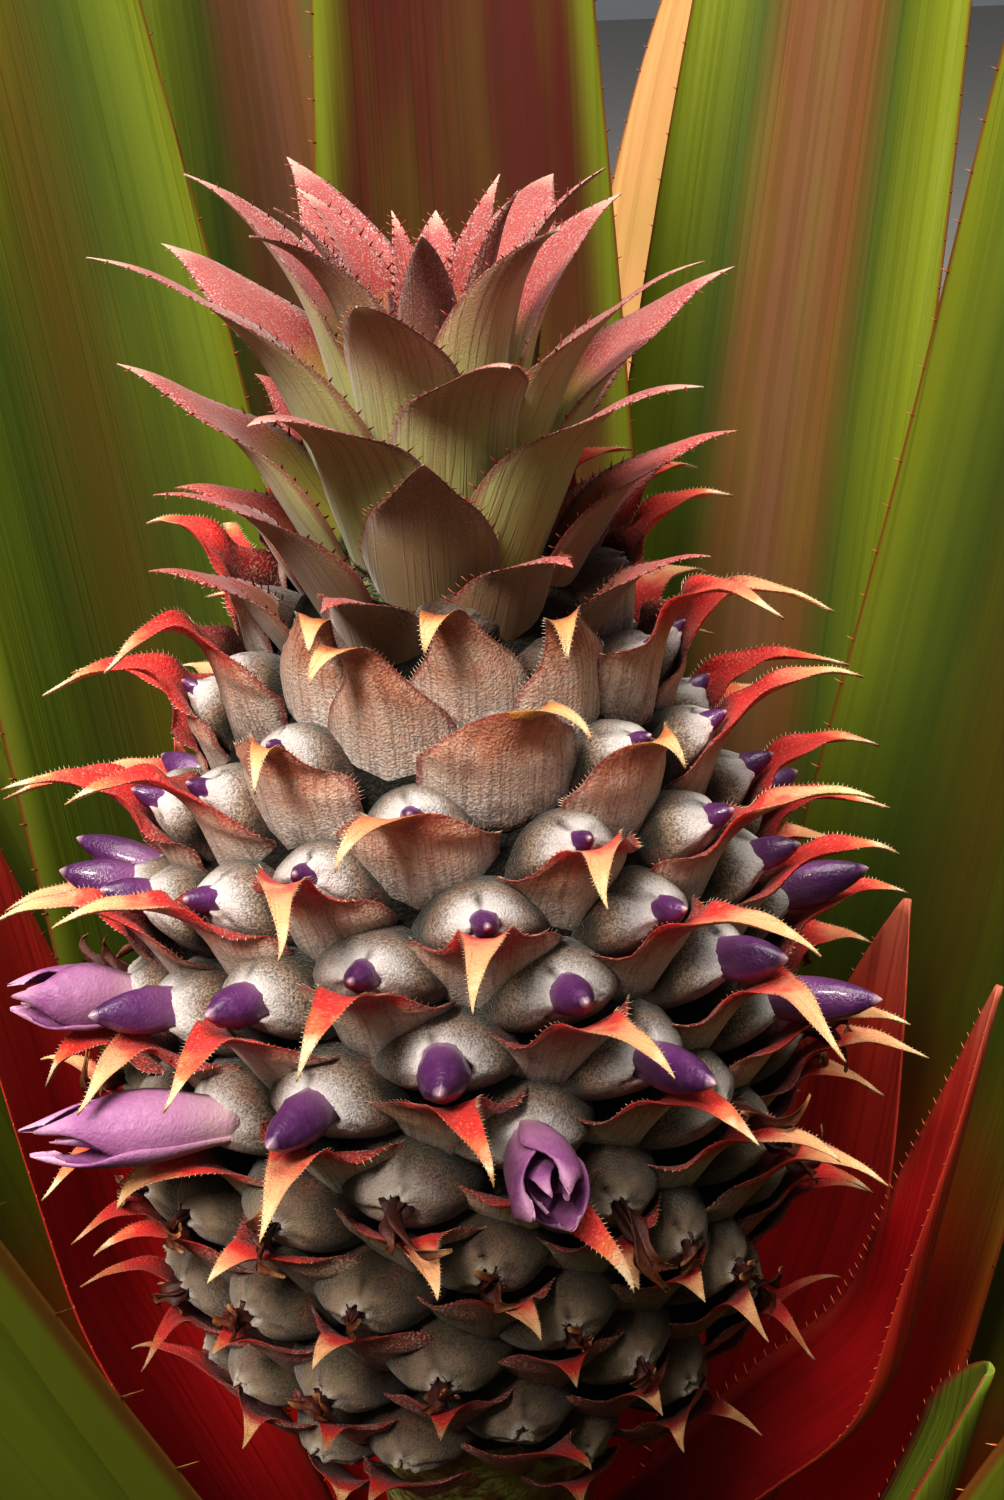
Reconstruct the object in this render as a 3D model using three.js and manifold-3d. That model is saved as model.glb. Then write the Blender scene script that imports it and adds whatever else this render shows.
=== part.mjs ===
// A pineapple plant in flower: a short stout stem with a rosette of sword leaves, a stalk with red
// heart leaves, and on it the young fruit with its spiral of eyes, bracts and flowers under a leafy crown.
// Millimetres, +Z up. The origin is the middle of the flat cut under the stem, at ground level.
// Azimuth 0 faces -Y and grows towards +X. Every organ of the plant follows one golden-angle spiral.
import * as THREE from "three";
import { mergeVertices } from "three/addons/utils/BufferGeometryUtils.js";
import Module from "manifold-3d";

const wasm = await Module();
wasm.setup();

// Small helpers
const radians = (degrees) => (degrees * Math.PI) / 180;
const mix = (a, b, t) => a + (b - a) * t;
const clamp = (x, low, high) => Math.min(high, Math.max(low, x));
const smooth = (x) => {
  const t = clamp(x, 0, 1);
  return t * t * (3 - 2 * t);
};
// A repeatable number from 0 to 1 for organ n.
const chance = (n, salt) => {
  const x = Math.sin(n * 12.9898 + salt * 78.233) * 43758.5453;
  return x - Math.floor(x);
};
// Degrees from -180 to 180.
const wrap = (degrees) => ((((degrees + 180) % 360) + 360) % 360) - 180;
const polar = (r, azimuth, z) =>
  new THREE.Vector3(r * Math.sin(azimuth), -r * Math.cos(azimuth), z);

// A curve through (x, y) pairs, read at x by straight steps between them.
function profile(points) {
  return (x) => {
    if (x <= points[0][0]) return points[0][1];
    for (let i = 1; i < points.length; i++) {
      if (x > points[i][0]) continue;
      const [x0, y0] = points[i - 1];
      const [x1, y1] = points[i];
      return mix(y0, y1, (x - x0) / (x1 - x0));
    }
    return points[points.length - 1][1];
  };
}

// Driving dimensions
const GOLDEN = 137.508; // degrees between one organ and the next
const CLEAR = 0.35; // gap between pieces that touch
const PAST = 60; // how far cutting shapes pass the fruit and the crown
const SPECK = 0.03; // edges shorter than this are closed up in the fused pieces

const ROUND_SIDES = 24; // sides of the stem and the stalk
const STEM_HEIGHT = 150;
const STEM_FLARE = 31; // radius at the ground
const STEM_WAIST = 24;
const STEM_WIDEST = 27; // under the leaves
const STEM_SHOULDER = 23;
const STEM_RINGS = [0, 6, 18, 45, 70, 95, 115, 135, STEM_HEIGHT]; // heights of the stem's facets
const STALK_RADIUS = 12.5;

const EYE_MIDDLE = 350; // height of eye number 0, at the fruit's widest part
const EYE_RISE = 0.61; // height from one eye to the next
const EYE_TURN = -94; // azimuth of eye number 0
const FIRST_EYE = -68;
const LAST_EYE = 75;
const FRUIT_FOOT = -49; // the fruit's underside, from the middle
const FRUIT_TOP = 44;
const EYE_DEPTH = 6.4; // how far an eye stands out of the core
const EYE_SHOULDER = 0.62; // where an eye's side turns over to its top, of the way out to its corners
const LAST_OPEN_EYE = 50; // above this the bracts lie closed over the eyes
const EYE_SEAT = 5.4; // how far below its eye a bract is rooted
const BRACT_STEPS = 12; // steps along a bract, of which these two and the tip have rings
const BRACT_RINGS = [5, 9];
const BRACT_HALF_WIDTH = 5.6;
const BRACT_CUP = 2.2;
const TIP_SALT = 3;
const LENGTH_SALT = 4;

const LAST_CROWN_LEAF = 112;
const CORE_SIDES = 12;
const BOWL_SIDES = 36; // of the bowl between the fruit and the crown
const BOWL_SEAT = 15.2; // its radius at the seat, and where its wall turns to the rim
const BOWL_SHOULDER = 26;

const LEAVES = 33;
const AGES = 30; // leaves from the oldest shape to the youngest
const LEAF_FOOT = 20; // height of the lowest leaf on the stem
const LEAF_RISE = 3.85;
const LEAF_TURN = 96; // azimuth of the lowest leaf
const LEAF_HALF_WIDTH = 27.0;
const LEAF_FOOT_THICK = 2.0;
const LEAF_THICKNESS = 0.0105; // of its length, where it is thickest
const LEAF_CUP = 5; // how far a blade's edges stand over its middle
const LEAF_SWAY = 22; // degrees
const SWAY_SALT = 9;
const LEAN_FOOT = 17; // degrees from upright where a leaf leaves the stem
const LEAN_YOUNG = 12; // what the youngest leaf comes to at the bend length, and the oldest
const LEAN_OLD = 122;
const BEND_LENGTH = 700;
const LEAN_OPENED = 84; // what the rosette's open side leans to
const LEAF_OPENING = 0.5;
const OPENING_SIDE = 14; // azimuth
const OPENING_SPREAD = 17;
const leafLength = profile([
  [0, 560],
  [0.3, 690],
  [0.55, 760],
  [1, 440],
]);

const HEART_LEAVES = 10;
const HEART_FOOT = 164;
const HEART_RISE = 12.5;
const HEART_TURN = 62;
const HEART_REACH = 52; // radius at which it passes the fruit's foot
const HEART_STANDS = 8; // degrees from upright beside the fruit
const HEART_SHOWS_LEAST = 25; // length beside the fruit
const HEART_SHOWS_MOST = 85;
const HEART_SALT = 2;

// The solid inside a closed skin of rings, each with the same even number of points, from foot to tip.
// The foot is closed by a strip that runs from its first point to the one opposite. A ring of one point
// closes the tip.
function skin(rings) {
  const positions = [];
  const index = [];
  const starts = rings.map((ring) => {
    const start = positions.length / 3;
    ring.forEach((p) => positions.push(p.x, p.y, p.z));
    return start;
  });
  const count = rings[0].length;
  for (let i = 0; i < count / 2; i++) {
    const [a, b, c, d] = [i, i + 1, count - i - 1, (count - i) % count].map((n) => starts[0] + n);
    if (i > 0) index.push(a, d, c);
    if (i < count / 2 - 1) index.push(a, c, b);
  }
  for (let k = 0; k < rings.length - 1; k++) {
    for (let i = 0; i < count; i++) {
      const a = starts[k] + i;
      const b = starts[k] + ((i + 1) % count);
      if (rings[k + 1].length === 1) {
        index.push(a, b, starts[k + 1]);
        continue;
      }
      const c = starts[k + 1] + i;
      const d = starts[k + 1] + ((i + 1) % count);
      index.push(a, b, d, a, d, c);
    }
  }
  return outward(positions, index);
}

// The solid of a closed skin, with its faces turned outwards.
function outward(positions, index) {
  const solid = solidOf(positions, index);
  if (solid.volume() > 0) return solid;
  for (let i = 0; i < index.length; i += 3) [index[i + 1], index[i + 2]] = [index[i + 2], index[i + 1]];
  return solidOf(positions, index);
}

function solidOf(positions, index) {
  return new wasm.Manifold(
    new wasm.Mesh({
      numProp: 3,
      vertProperties: new Float32Array(positions),
      triVerts: new Uint32Array(index),
    }),
  );
}

// One solid from many, joined two by two.
function fuse(solids) {
  let round = solids;
  while (round.length > 1) {
    const next = [];
    for (let i = 0; i < round.length; i += 2) {
      next.push(i + 1 < round.length ? round[i].add(round[i + 1]) : round[i]);
    }
    round = next;
  }
  return largest(round[0]);
}

// The largest body of a solid; loose scraps are dropped.
function largest(solid) {
  return solid.decompose().reduce((a, b) => (b.volume() > a.volume() ? b : a));
}

function geometryOf(solid) {
  const mesh = solid.getMesh();
  const position = new Float32Array(mesh.numVert * 3);
  for (let i = 0; i < mesh.numVert; i++) {
    position.set(mesh.vertProperties.subarray(i * mesh.numProp, i * mesh.numProp + 3), i * 3);
  }
  const geometry = new THREE.BufferGeometry();
  geometry.setAttribute("position", new THREE.BufferAttribute(position, 3));
  geometry.setIndex(new THREE.BufferAttribute(mesh.triVerts, 1));
  return geometry;
}

// The solid inside a lathe turned about the plant's axis.
function turned(outline, sides) {
  const lathe = new THREE.LatheGeometry(
    outline.map(([r, z]) => new THREE.Vector2(r, z)),
    sides,
  );
  lathe.deleteAttribute("normal");
  lathe.deleteAttribute("uv");
  lathe.rotateX(Math.PI / 2);
  const merged = mergeVertices(lathe, 1e-3);
  const index = Array.from(merged.index.array);
  const closed = [];
  for (let i = 0; i < index.length; i += 3) {
    const [a, b, c] = index.slice(i, i + 3);
    if (a !== b && b !== c && c !== a) closed.push(a, b, c);
  }
  return outward(Array.from(merged.attributes.position.array), closed);
}

// A leaf or bract that lies on a surface of revolution about the plant's axis. It starts at radius r and
// height z, and leans lean(t) degrees from upright. Its edges stand cup(t) towards the axis, and it is
// thick(t) in the middle. t runs from 0 at the foot to 1 at the tip.
function blade({ azimuth, r, z, length, lean, half, cup, thick, turn = () => 0, steps, slim }) {
  const rings = [];
  let reach = r;
  let height = z;
  for (let k = 0; k <= steps; k++) {
    const t = k / steps;
    if (k > 0) {
      const middle = radians(lean(t - 0.5 / steps));
      reach += (Math.sin(middle) * length) / steps;
      height += (Math.cos(middle) * length) / steps;
    }
    const tilt = radians(lean(t));
    const facing = radians(azimuth + turn(t));
    const place = (side, out) => {
      const radius = reach + out * Math.cos(tilt);
      return polar(radius, facing + (side * half(t)) / reach, height - out * Math.sin(tilt));
    };
    if (k === steps) {
      rings.push([place(0, 0)]);
      break;
    }
    const rim = -cup(t);
    const back = thick(t);
    const inner = slim ? [[0, 0]] : [[-0.5, 0.25 * rim], [0, 0], [0.5, 0.25 * rim]];
    const flank = 0.25 * rim + 0.8 * back;
    const outer = slim ? [[0, back]] : [[0.5, flank], [0, back], [-0.5, flank]];
    rings.push([[-1, rim], ...inner, [1, rim], ...outer].map(([side, out]) => place(side, out)));
  }
  return skin(rings);
}

// The radius at which a faceted foot of this half width just clears a stem of this radius
const footRadius = (stem, half) => (stem + CLEAR) / Math.cos(half / (4 * stem));

// Stem and fruit stalk
const stemRadius = profile([
  [0, STEM_FLARE],
  [18, STEM_WAIST],
  [70, STEM_WIDEST],
  [115, STEM_SHOULDER],
  [STEM_HEIGHT, STALK_RADIUS + 1.5],
]);

function makeStem() {
  const side = STEM_RINGS.map((z) => [stemRadius(z), z]);
  return turned([[0, 0], ...side, [0, STEM_HEIGHT]], ROUND_SIDES);
}

const STALK_FOOT = STEM_HEIGHT + CLEAR;
const STALK_TOP = EYE_MIDDLE + FRUIT_FOOT - CLEAR;
const stalkRadius = profile([
  [STALK_FOOT, STALK_RADIUS + 1],
  [STALK_FOOT + 30, STALK_RADIUS],
  [STALK_TOP - 25, STALK_RADIUS - 0.5],
  [STALK_TOP, STALK_RADIUS + 1],
]);

function makeStalk() {
  const heights = [STALK_FOOT, STALK_FOOT + 30, STALK_TOP - 25, STALK_TOP];
  const side = heights.map((z) => [stalkRadius(z), z]);
  return turned([[0, STALK_FOOT], ...side, [0, STALK_TOP]], ROUND_SIDES);
}

// Fruit: how far the eyes' tips stand from the axis, at a height from the middle
const eyeReach = profile([
  [FRUIT_FOOT, 19],
  [-44, 27],
  [-34, 31.6],
  [-20, 34],
  [-6, 34.9],
  [6, 34.2],
  [16, 32],
  [26, 28.4],
  [36, 22.8],
  [FRUIT_TOP, 17.5],
]);
const eyeHeight = (k) => EYE_RISE * k;
const eyeAzimuth = (k) => EYE_TURN + GOLDEN * k;
// Degrees above level that an eye faces
const eyeTilt = (k) => {
  const z = eyeHeight(k);
  const slope = (eyeReach(z + 2) - eyeReach(z - 2)) / 4;
  return clamp((Math.atan(-slope) * 180) / Math.PI + 8, -12, 52);
};

// The fruit's skin is a net over the spiral. The eyes next to eye k are k + 8, k + 21, k + 13 and the same
// steps down, in this order around it. Each eye is a six-sided mound in its cell of the net, and the cells'
// corners lie in the valleys between three eyes. The bract is drawn out of the mound's two lowest sides.
const NEIGHBOURS = [8, 21, 13, -8, -21, -13];
const LOWEST_SIDES = [3, 4];
const CAP_EYES = 40; // mounds past either end of the fruit, which the flat cuts take off

function makeBody() {
  const positions = [];
  const index = [];
  const valleys = new Map();
  const add = (p) => positions.push(p.x, p.y, p.z) / 3 - 1;
  const point = (k, turn, rise) => {
    const z = eyeHeight(k);
    return add(polar(eyeReach(z) - EYE_DEPTH + rise, radians(EYE_TURN + turn), EYE_MIDDLE + z));
  };
  const corner = (k, one, other) => {
    const name = [k, k + one, k + other].sort((a, b) => a - b).join(" ");
    const turn = GOLDEN * k + (wrap(GOLDEN * one) + wrap(GOLDEN * other)) / 3;
    if (!valleys.has(name)) valleys.set(name, point(k + (one + other) / 3, turn, 0));
    return valleys.get(name);
  };
  const band = (from, to, i) => {
    const n = (i + 1) % from.length;
    index.push(from[i], from[n], to[n], from[i], to[n], to[i]);
  };
  for (let k = FIRST_EYE - CAP_EYES; k <= LAST_EYE + CAP_EYES; k++) {
    const height = EYE_DEPTH * (k > LAST_OPEN_EYE ? 0.3 : 1);
    const tip = point(k - 1.2, GOLDEN * k, height);
    const foot = NEIGHBOURS.map((one, i) => corner(k, one, NEIGHBOURS[(i + 1) % 6]));
    const shoulder = NEIGHBOURS.map((one, i) => {
      const other = NEIGHBOURS[(i + 1) % 6];
      const share = EYE_SHOULDER / 3;
      const turn = GOLDEN * k + share * (wrap(GOLDEN * one) + wrap(GOLDEN * other));
      return point(k + share * (one + other), turn, 0.68 * height);
    });
    const bears = k >= FIRST_EYE && k <= LAST_EYE;
    foot.forEach((_, i) => {
      index.push(tip, shoulder[i], shoulder[(i + 1) % 6]);
      if (!bears || !LOWEST_SIDES.includes(i)) band(foot, shoulder, i);
    });
    if (!bears) continue;
    const [left, right] = LOWEST_SIDES;
    const last = right + 1;
    let ring = [foot[left], foot[right], foot[last], shoulder[last], shoulder[right], shoulder[left]];
    for (const next of bractRings(k).map((points) => points.map(add))) {
      ring.forEach((a, i) => {
        if (next.length > 1) band(ring, next, i);
        else index.push(a, ring[(i + 1) % ring.length], next[0]);
      });
      ring = next;
    }
  }
  return solidOf(positions, capped(positions, index)).intersect(makeSlab());
}

// Degrees from upright at a bract's root and tip, and its length
const bractRoot = profile([
  [FIRST_EYE, 72],
  [-20, 60],
  [20, 52],
  [LAST_OPEN_EYE, 42],
  [LAST_OPEN_EYE + 1, 34],
  [LAST_EYE, 24],
]);
const bractTip = profile([
  [FIRST_EYE, 112],
  [20, 112],
  [45, 92],
  [LAST_EYE, 58],
]);
const bractLength = profile([
  [FIRST_EYE, 15],
  [-30, 19],
  [0, 22],
  [45, 21],
  [LAST_EYE, 14],
]);

// The rings of a bract past its root, foot to tip: three points on its outer face, then three on its inner.
// It leans out from its eye, then arches over and hangs its tip. The top ones stand over their eyes.
function bractRings(k) {
  const size = mix(0.78, 1, smooth((k - FIRST_EYE) / 50));
  const first = bractRoot(k);
  const last = bractTip(k) + 16 * (chance(k, TIP_SALT) - 0.5);
  const length = bractLength(k) * mix(0.93, 1.07, chance(k, LENGTH_SALT));
  const azimuth = radians(eyeAzimuth(k));
  const steps = BRACT_STEPS;
  let reach = eyeReach(eyeHeight(k)) - EYE_DEPTH + 2;
  let z = EYE_MIDDLE + eyeHeight(k) - EYE_SEAT * size;
  const rings = [];
  for (let i = 1; i <= steps; i++) {
    const t = i / steps;
    const lean = radians(mix(first, last, smooth((t - 0.25) / 0.75)));
    reach += (Math.sin(lean) * length) / steps;
    z += (Math.cos(lean) * length) / steps;
    const place = (side, out) =>
      polar(reach + out * Math.cos(lean), azimuth + (side * size) / reach, z - out * Math.sin(lean));
    if (BRACT_RINGS.includes(i)) {
      const half = BRACT_HALF_WIDTH * Math.pow(1 - t, 0.6);
      const cup = BRACT_CUP * (1 - t);
      const thick = mix(1.2, 0.7, t);
      rings.push([
        place(-half, thick - cup),
        place(0, thick),
        place(half, thick - cup),
        place(half, -cup),
        place(0, 0),
        place(-half, -cup),
      ]);
    }
    if (i === steps) rings.push([place(0, 0)]);
  }
  return rings;
}

// Closes a tube's two open rims with fans that meet on the plant's axis, beyond each rim.
function capped(positions, index) {
  const used = new Set();
  const edges = [];
  for (let i = 0; i < index.length; i += 3) {
    const corners = index.slice(i, i + 3);
    corners.forEach((a, n) => {
      used.add(a + " " + corners[(n + 1) % 3]);
      edges.push([a, corners[(n + 1) % 3]]);
    });
  }
  const beyond = (EYE_RISE * (LAST_EYE - FIRST_EYE)) / 2 + PAST;
  const low = positions.push(0, 0, EYE_MIDDLE - beyond) / 3 - 1;
  const high = positions.push(0, 0, EYE_MIDDLE + beyond) / 3 - 1;
  const caps = edges
    .filter(([a, b]) => !used.has(b + " " + a))
    .flatMap(([a, b]) => [b, a, positions[3 * a + 2] < EYE_MIDDLE ? low : high]);
  return [...index, ...caps];
}

// The fruit from its flat underside to its flat top
function makeSlab() {
  const low = EYE_MIDDLE + FRUIT_FOOT;
  const high = EYE_MIDDLE + FRUIT_TOP;
  return turned(
    [
      [0, low],
      [PAST, low],
      [PAST, high],
      [0, high],
    ],
    CORE_SIDES,
  );
}

// How far a flower shows past its sepals: open ones low down, then buds that shorten upwards
const OPEN_FLOWERS = [-5, 0, 3, 6];
const OPEN_LENGTH = 15;
const FIRST_BUD = 7;
const LAST_BUD = 26;
function flowerLength(k) {
  if (OPEN_FLOWERS.includes(k)) return OPEN_LENGTH;
  return k < FIRST_BUD || k > LAST_BUD ? 0 : mix(9, 6, (k - FIRST_BUD) / (LAST_BUD - FIRST_BUD));
}

function makeFlower(k) {
  const open = OPEN_FLOWERS.includes(k);
  const facing = radians(eyeAzimuth(k));
  const tilt = radians(eyeTilt(k) - 4);
  const out = polar(Math.cos(tilt), facing, Math.sin(tilt));
  const side = polar(1, facing + Math.PI / 2, 0);
  const up = new THREE.Vector3().crossVectors(side, out).negate();
  const foot = polar(eyeReach(eyeHeight(k)) - 2.4, facing, EYE_MIDDLE + eyeHeight(k) - 0.6);
  const length = flowerLength(k) + 2;
  const ring = (radius, height) =>
    [0, 1, 2, 3].map((i) => {
      const a = radians(90 * i);
      return foot
        .clone()
        .addScaledVector(side, radius * Math.cos(a))
        .addScaledVector(up, radius * Math.sin(a))
        .addScaledVector(out, height);
    });
  return skin([
    ring(1.6, 0),
    ring(open ? 3.3 : 2.1, length * 0.55),
    [foot.clone().addScaledVector(out, length)],
  ]);
}

// The crown's leaves carry the eyes' spiral on: short and arched outside, longer and upright inside, small
// in the middle. Each bends by one rule along its length and less than the next lower one, so none cross.
const crownShare = (k) => (k - LAST_EYE) / (LAST_CROWN_LEAF - LAST_EYE);
const crownLength = profile([
  [0, 17],
  [0.2, 24],
  [0.5, 27],
  [0.75, 21],
  [1, 10],
]);
const crownHalfWidth = profile([
  [0, 6.6],
  [0.3, 8.6],
  [0.6, 7],
  [1, 2.2],
]);
const CROWN_FOOT = EYE_MIDDLE + FRUIT_TOP + CLEAR;
const CROWN_CORE = 18; // height of the crown's short axis
const crownHeight = (share) => CROWN_FOOT + 0.5 + (CROWN_CORE - 2) * share;
const crownCore = profile([
  [CROWN_FOOT, 11.5],
  [CROWN_FOOT + CROWN_CORE / 2, 8],
  [CROWN_FOOT + CROWN_CORE, 3],
]);

function makeCrownLeaf(k) {
  const share = crownShare(k);
  const z = crownHeight(share);
  const length = crownLength(share);
  const wide = crownHalfWidth(share);
  const first = mix(52, 5, Math.pow(share, 0.7));
  const last = mix(104, 4, Math.pow(share, 0.6));
  return blade({
    azimuth: eyeAzimuth(k),
    r: crownCore(z) - 1.6,
    z,
    length,
    lean: (t) => mix(first, last, smooth((t * length - 3) / 22)),
    half: (t) => wide * mix(0.5, 1, smooth(t / 0.3)) * Math.pow(1 - t, 0.7) + 0.2,
    cup: (t) => 0.1 * wide * (1 - t),
    thick: (t) => mix(0.75, 0.4, t),
    steps: 4,
    slim: true,
  });
}

function makeCrown() {
  const heights = [0, CROWN_CORE / 2, CROWN_CORE].map((rise) => CROWN_FOOT + rise);
  const side = heights.map((z) => [crownCore(z), z]);
  const core = turned([[0, CROWN_FOOT], ...side, [0, CROWN_FOOT + CROWN_CORE]], CORE_SIDES);
  const leaves = [];
  for (let k = LAST_EYE + 1; k <= LAST_CROWN_LEAF; k++) leaves.push(makeCrownLeaf(k));
  return fuse([core, ...leaves]);
}

// The crown keeps above this bowl, and the fruit's bracts keep below it.
function makeBowl(lift) {
  const seat = EYE_MIDDLE + FRUIT_TOP + lift;
  return turned(
    [
      [0, seat],
      [BOWL_SEAT - lift, seat],
      [BOWL_SHOULDER - lift, seat + 9],
      [PAST, seat + 21],
      [PAST, seat + 80],
      [0, seat + 80],
    ],
    BOWL_SIDES,
  );
}

function makeFruit() {
  const parts = [makeBody()];
  for (let k = FIRST_EYE; k <= LAST_EYE; k++) {
    if (flowerLength(k) > 0) parts.push(makeFlower(k));
  }
  return fuse(parts);
}

// The rosette opens on one side, where the light comes from.
const opening = (azimuth) => Math.exp(-Math.pow(wrap(azimuth - OPENING_SIDE) / OPENING_SPREAD, 2));

// Leaves of all ages leave the stem at one angle and bend by one rule along their length, the older the
// more. So each lies inside the next older one and they never cross.
function makeLeaf(j) {
  const age = Math.max(0, 1 - j / (AGES - 1)); // 1 is the oldest leaf, at the foot
  const azimuth = wrap(LEAF_TURN + GOLDEN * j);
  const z = LEAF_FOOT + LEAF_RISE * j;
  const inner = Math.max(0, j - AGES + 1); // the leaves inside the youngest shape are shorter and straighter
  const length = leafLength(age) - 25 * inner;
  const hang = mix(LEAN_YOUNG, LEAN_OLD, Math.pow(age, 0.9)) - 2.4 * inner;
  const opened = LEAF_OPENING * opening(azimuth);
  const lean = (t) => {
    const along = t * length;
    const own = mix(LEAN_FOOT, hang, Math.pow(along / BEND_LENGTH, 1.15));
    return mix(own, Math.max(own, LEAN_OPENED), opened * smooth((along - 60) / 190));
  };
  const half = (t) =>
    LEAF_HALF_WIDTH * mix(0.9, 1, smooth(t / 0.2)) * Math.pow(1 - Math.pow(t, 2.2), 0.9) + 0.4;
  const full = LEAF_THICKNESS * length;
  const sway = LEAF_SWAY * (chance(j, SWAY_SALT) - 0.5);
  return blade({
    azimuth,
    r: footRadius(stemRadius(z), half(0)),
    z,
    length,
    lean,
    half,
    cup: (t) => LEAF_CUP * smooth((t * length - 30) / 170) * (1 - 0.55 * t),
    thick: (t) => mix(mix(LEAF_FOOT_THICK, full, smooth((t - 0.04) / 0.16)), 1.6, smooth((t - 0.2) / 0.8)),
    turn: (t) => sway * t * t,
    steps: 9,
  });
}

// A heart leaf runs out from the stalk to clear the fruit's foot, then stands up beside the fruit. On the
// open side it stays short.
function makeHeartLeaf(j) {
  const azimuth = wrap(HEART_TURN + GOLDEN * j);
  const z = HEART_FOOT + HEART_RISE * j;
  const run = HEART_REACH - 0.8 * j - STALK_RADIUS;
  const climb = EYE_MIDDLE + FRUIT_FOOT - 2 - z;
  const knee = Math.hypot(run, climb);
  const first = (Math.atan2(run, climb) * 180) / Math.PI;
  const shown = mix(HEART_SHOWS_LEAST, HEART_SHOWS_MOST, chance(j, HEART_SALT));
  const front = Math.exp(-Math.pow(wrap(azimuth) / 60, 2));
  const length = knee + mix(shown, 12, front);
  const wide = mix(14, 10, j / (HEART_LEAVES - 1));
  const half = (t) => wide * mix(0.75, 1, smooth(t / 0.3)) * Math.pow(1 - Math.pow(t, 1.8), 0.9) + 0.3;
  return blade({
    azimuth,
    r: footRadius(stalkRadius(z), half(0)),
    z,
    length,
    lean: (t) => mix(first, HEART_STANDS, smooth((t * length - knee + 12) / 24)),
    half,
    cup: (t) => 3 * smooth((t - 0.1) / 0.3) * (1 - 0.6 * t),
    thick: (t) => mix(Math.max(2, 0.011 * length), 0.8, smooth(t)),
    steps: 7,
  });
}

// Materials
const paint = (color, roughness) => new THREE.MeshStandardMaterial({ color, roughness, metalness: 0 });
const stemBark = paint(0x8a7350, 0.9);
const stalkSkin = paint(0x8d9456, 0.7);
const fruitSkin = paint(0x9c8c7c, 0.8);
const crownSkin = paint(0x9a5a52, 0.75);
const leafSkin = paint(0x56732a, 0.55);
const heartSkin = paint(0xb3261e, 0.5);

const plant = new THREE.Group();
plant.name = "pineapple_plant";
function put(name, solid, material) {
  const mesh = new THREE.Mesh(geometryOf(solid), material);
  mesh.name = name;
  plant.add(mesh);
}

put("stem", makeStem(), stemBark);
put("fruit_stalk", makeStalk(), stalkSkin);
put("fruit", largest(makeFruit().subtract(makeBowl(0)).simplify(SPECK)), fruitSkin);
put("crown", largest(makeCrown().intersect(makeBowl(CLEAR)).simplify(SPECK)), crownSkin);
for (let j = 0; j < LEAVES; j++) {
  put("leaf_" + String(j + 1).padStart(2, "0"), makeLeaf(j), leafSkin);
}
for (let j = 0; j < HEART_LEAVES; j++) {
  put("heart_leaf_" + String(j + 1).padStart(2, "0"), makeHeartLeaf(j), heartSkin);
}

export default plant;
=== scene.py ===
"""A pineapple plant in flower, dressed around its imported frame.

The organs follow one golden-angle spiral from the stem's foot to the crown's middle. Lengths are in
millimetres until a mesh is written, which turns them to metres. Azimuth 0 faces -Y and grows towards +X.

All organs of a kind are worked out at once, in arrays that spread to (organs, rows, columns): rows run from
foot to tip and columns round the organ. A number that belongs to an organ has the shape (organs, 1, 1), t
along an organ is (rows, 1), and u across it is (columns,).
"""

import logging
import math
from dataclasses import dataclass, field
from enum import Enum, IntEnum
from typing import Callable, Sequence

import bpy
import numpy as np
from mathutils import Matrix, Vector


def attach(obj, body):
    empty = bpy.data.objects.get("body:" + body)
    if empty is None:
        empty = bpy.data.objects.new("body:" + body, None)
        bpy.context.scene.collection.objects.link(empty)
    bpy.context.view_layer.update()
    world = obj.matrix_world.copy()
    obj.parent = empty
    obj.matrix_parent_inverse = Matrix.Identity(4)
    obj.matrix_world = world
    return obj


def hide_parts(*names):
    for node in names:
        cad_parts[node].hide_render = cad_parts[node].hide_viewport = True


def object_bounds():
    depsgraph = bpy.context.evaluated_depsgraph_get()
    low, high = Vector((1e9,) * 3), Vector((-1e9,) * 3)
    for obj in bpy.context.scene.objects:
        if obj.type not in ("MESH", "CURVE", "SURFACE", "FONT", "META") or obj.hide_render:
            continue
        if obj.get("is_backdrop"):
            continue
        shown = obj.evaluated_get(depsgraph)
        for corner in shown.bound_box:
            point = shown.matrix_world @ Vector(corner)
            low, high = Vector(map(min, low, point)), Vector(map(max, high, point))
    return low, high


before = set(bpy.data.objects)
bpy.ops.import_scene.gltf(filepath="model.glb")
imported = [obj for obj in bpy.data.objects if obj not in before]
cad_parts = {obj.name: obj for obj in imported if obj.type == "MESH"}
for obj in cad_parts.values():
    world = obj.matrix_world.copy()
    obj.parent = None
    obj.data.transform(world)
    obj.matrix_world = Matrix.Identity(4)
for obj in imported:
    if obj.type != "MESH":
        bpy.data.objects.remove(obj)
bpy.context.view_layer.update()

LOG = logging.getLogger("pineapple")
Array = np.ndarray
Curve = Callable[[Array], Array]
Socket = bpy.types.NodeSocket
Stops = tuple[tuple[float, str], ...]

MM = 0.001
GOLDEN = 137.508
FULL_TURN = 2 * np.pi
ATLAS_MARGIN = 0.04


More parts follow.
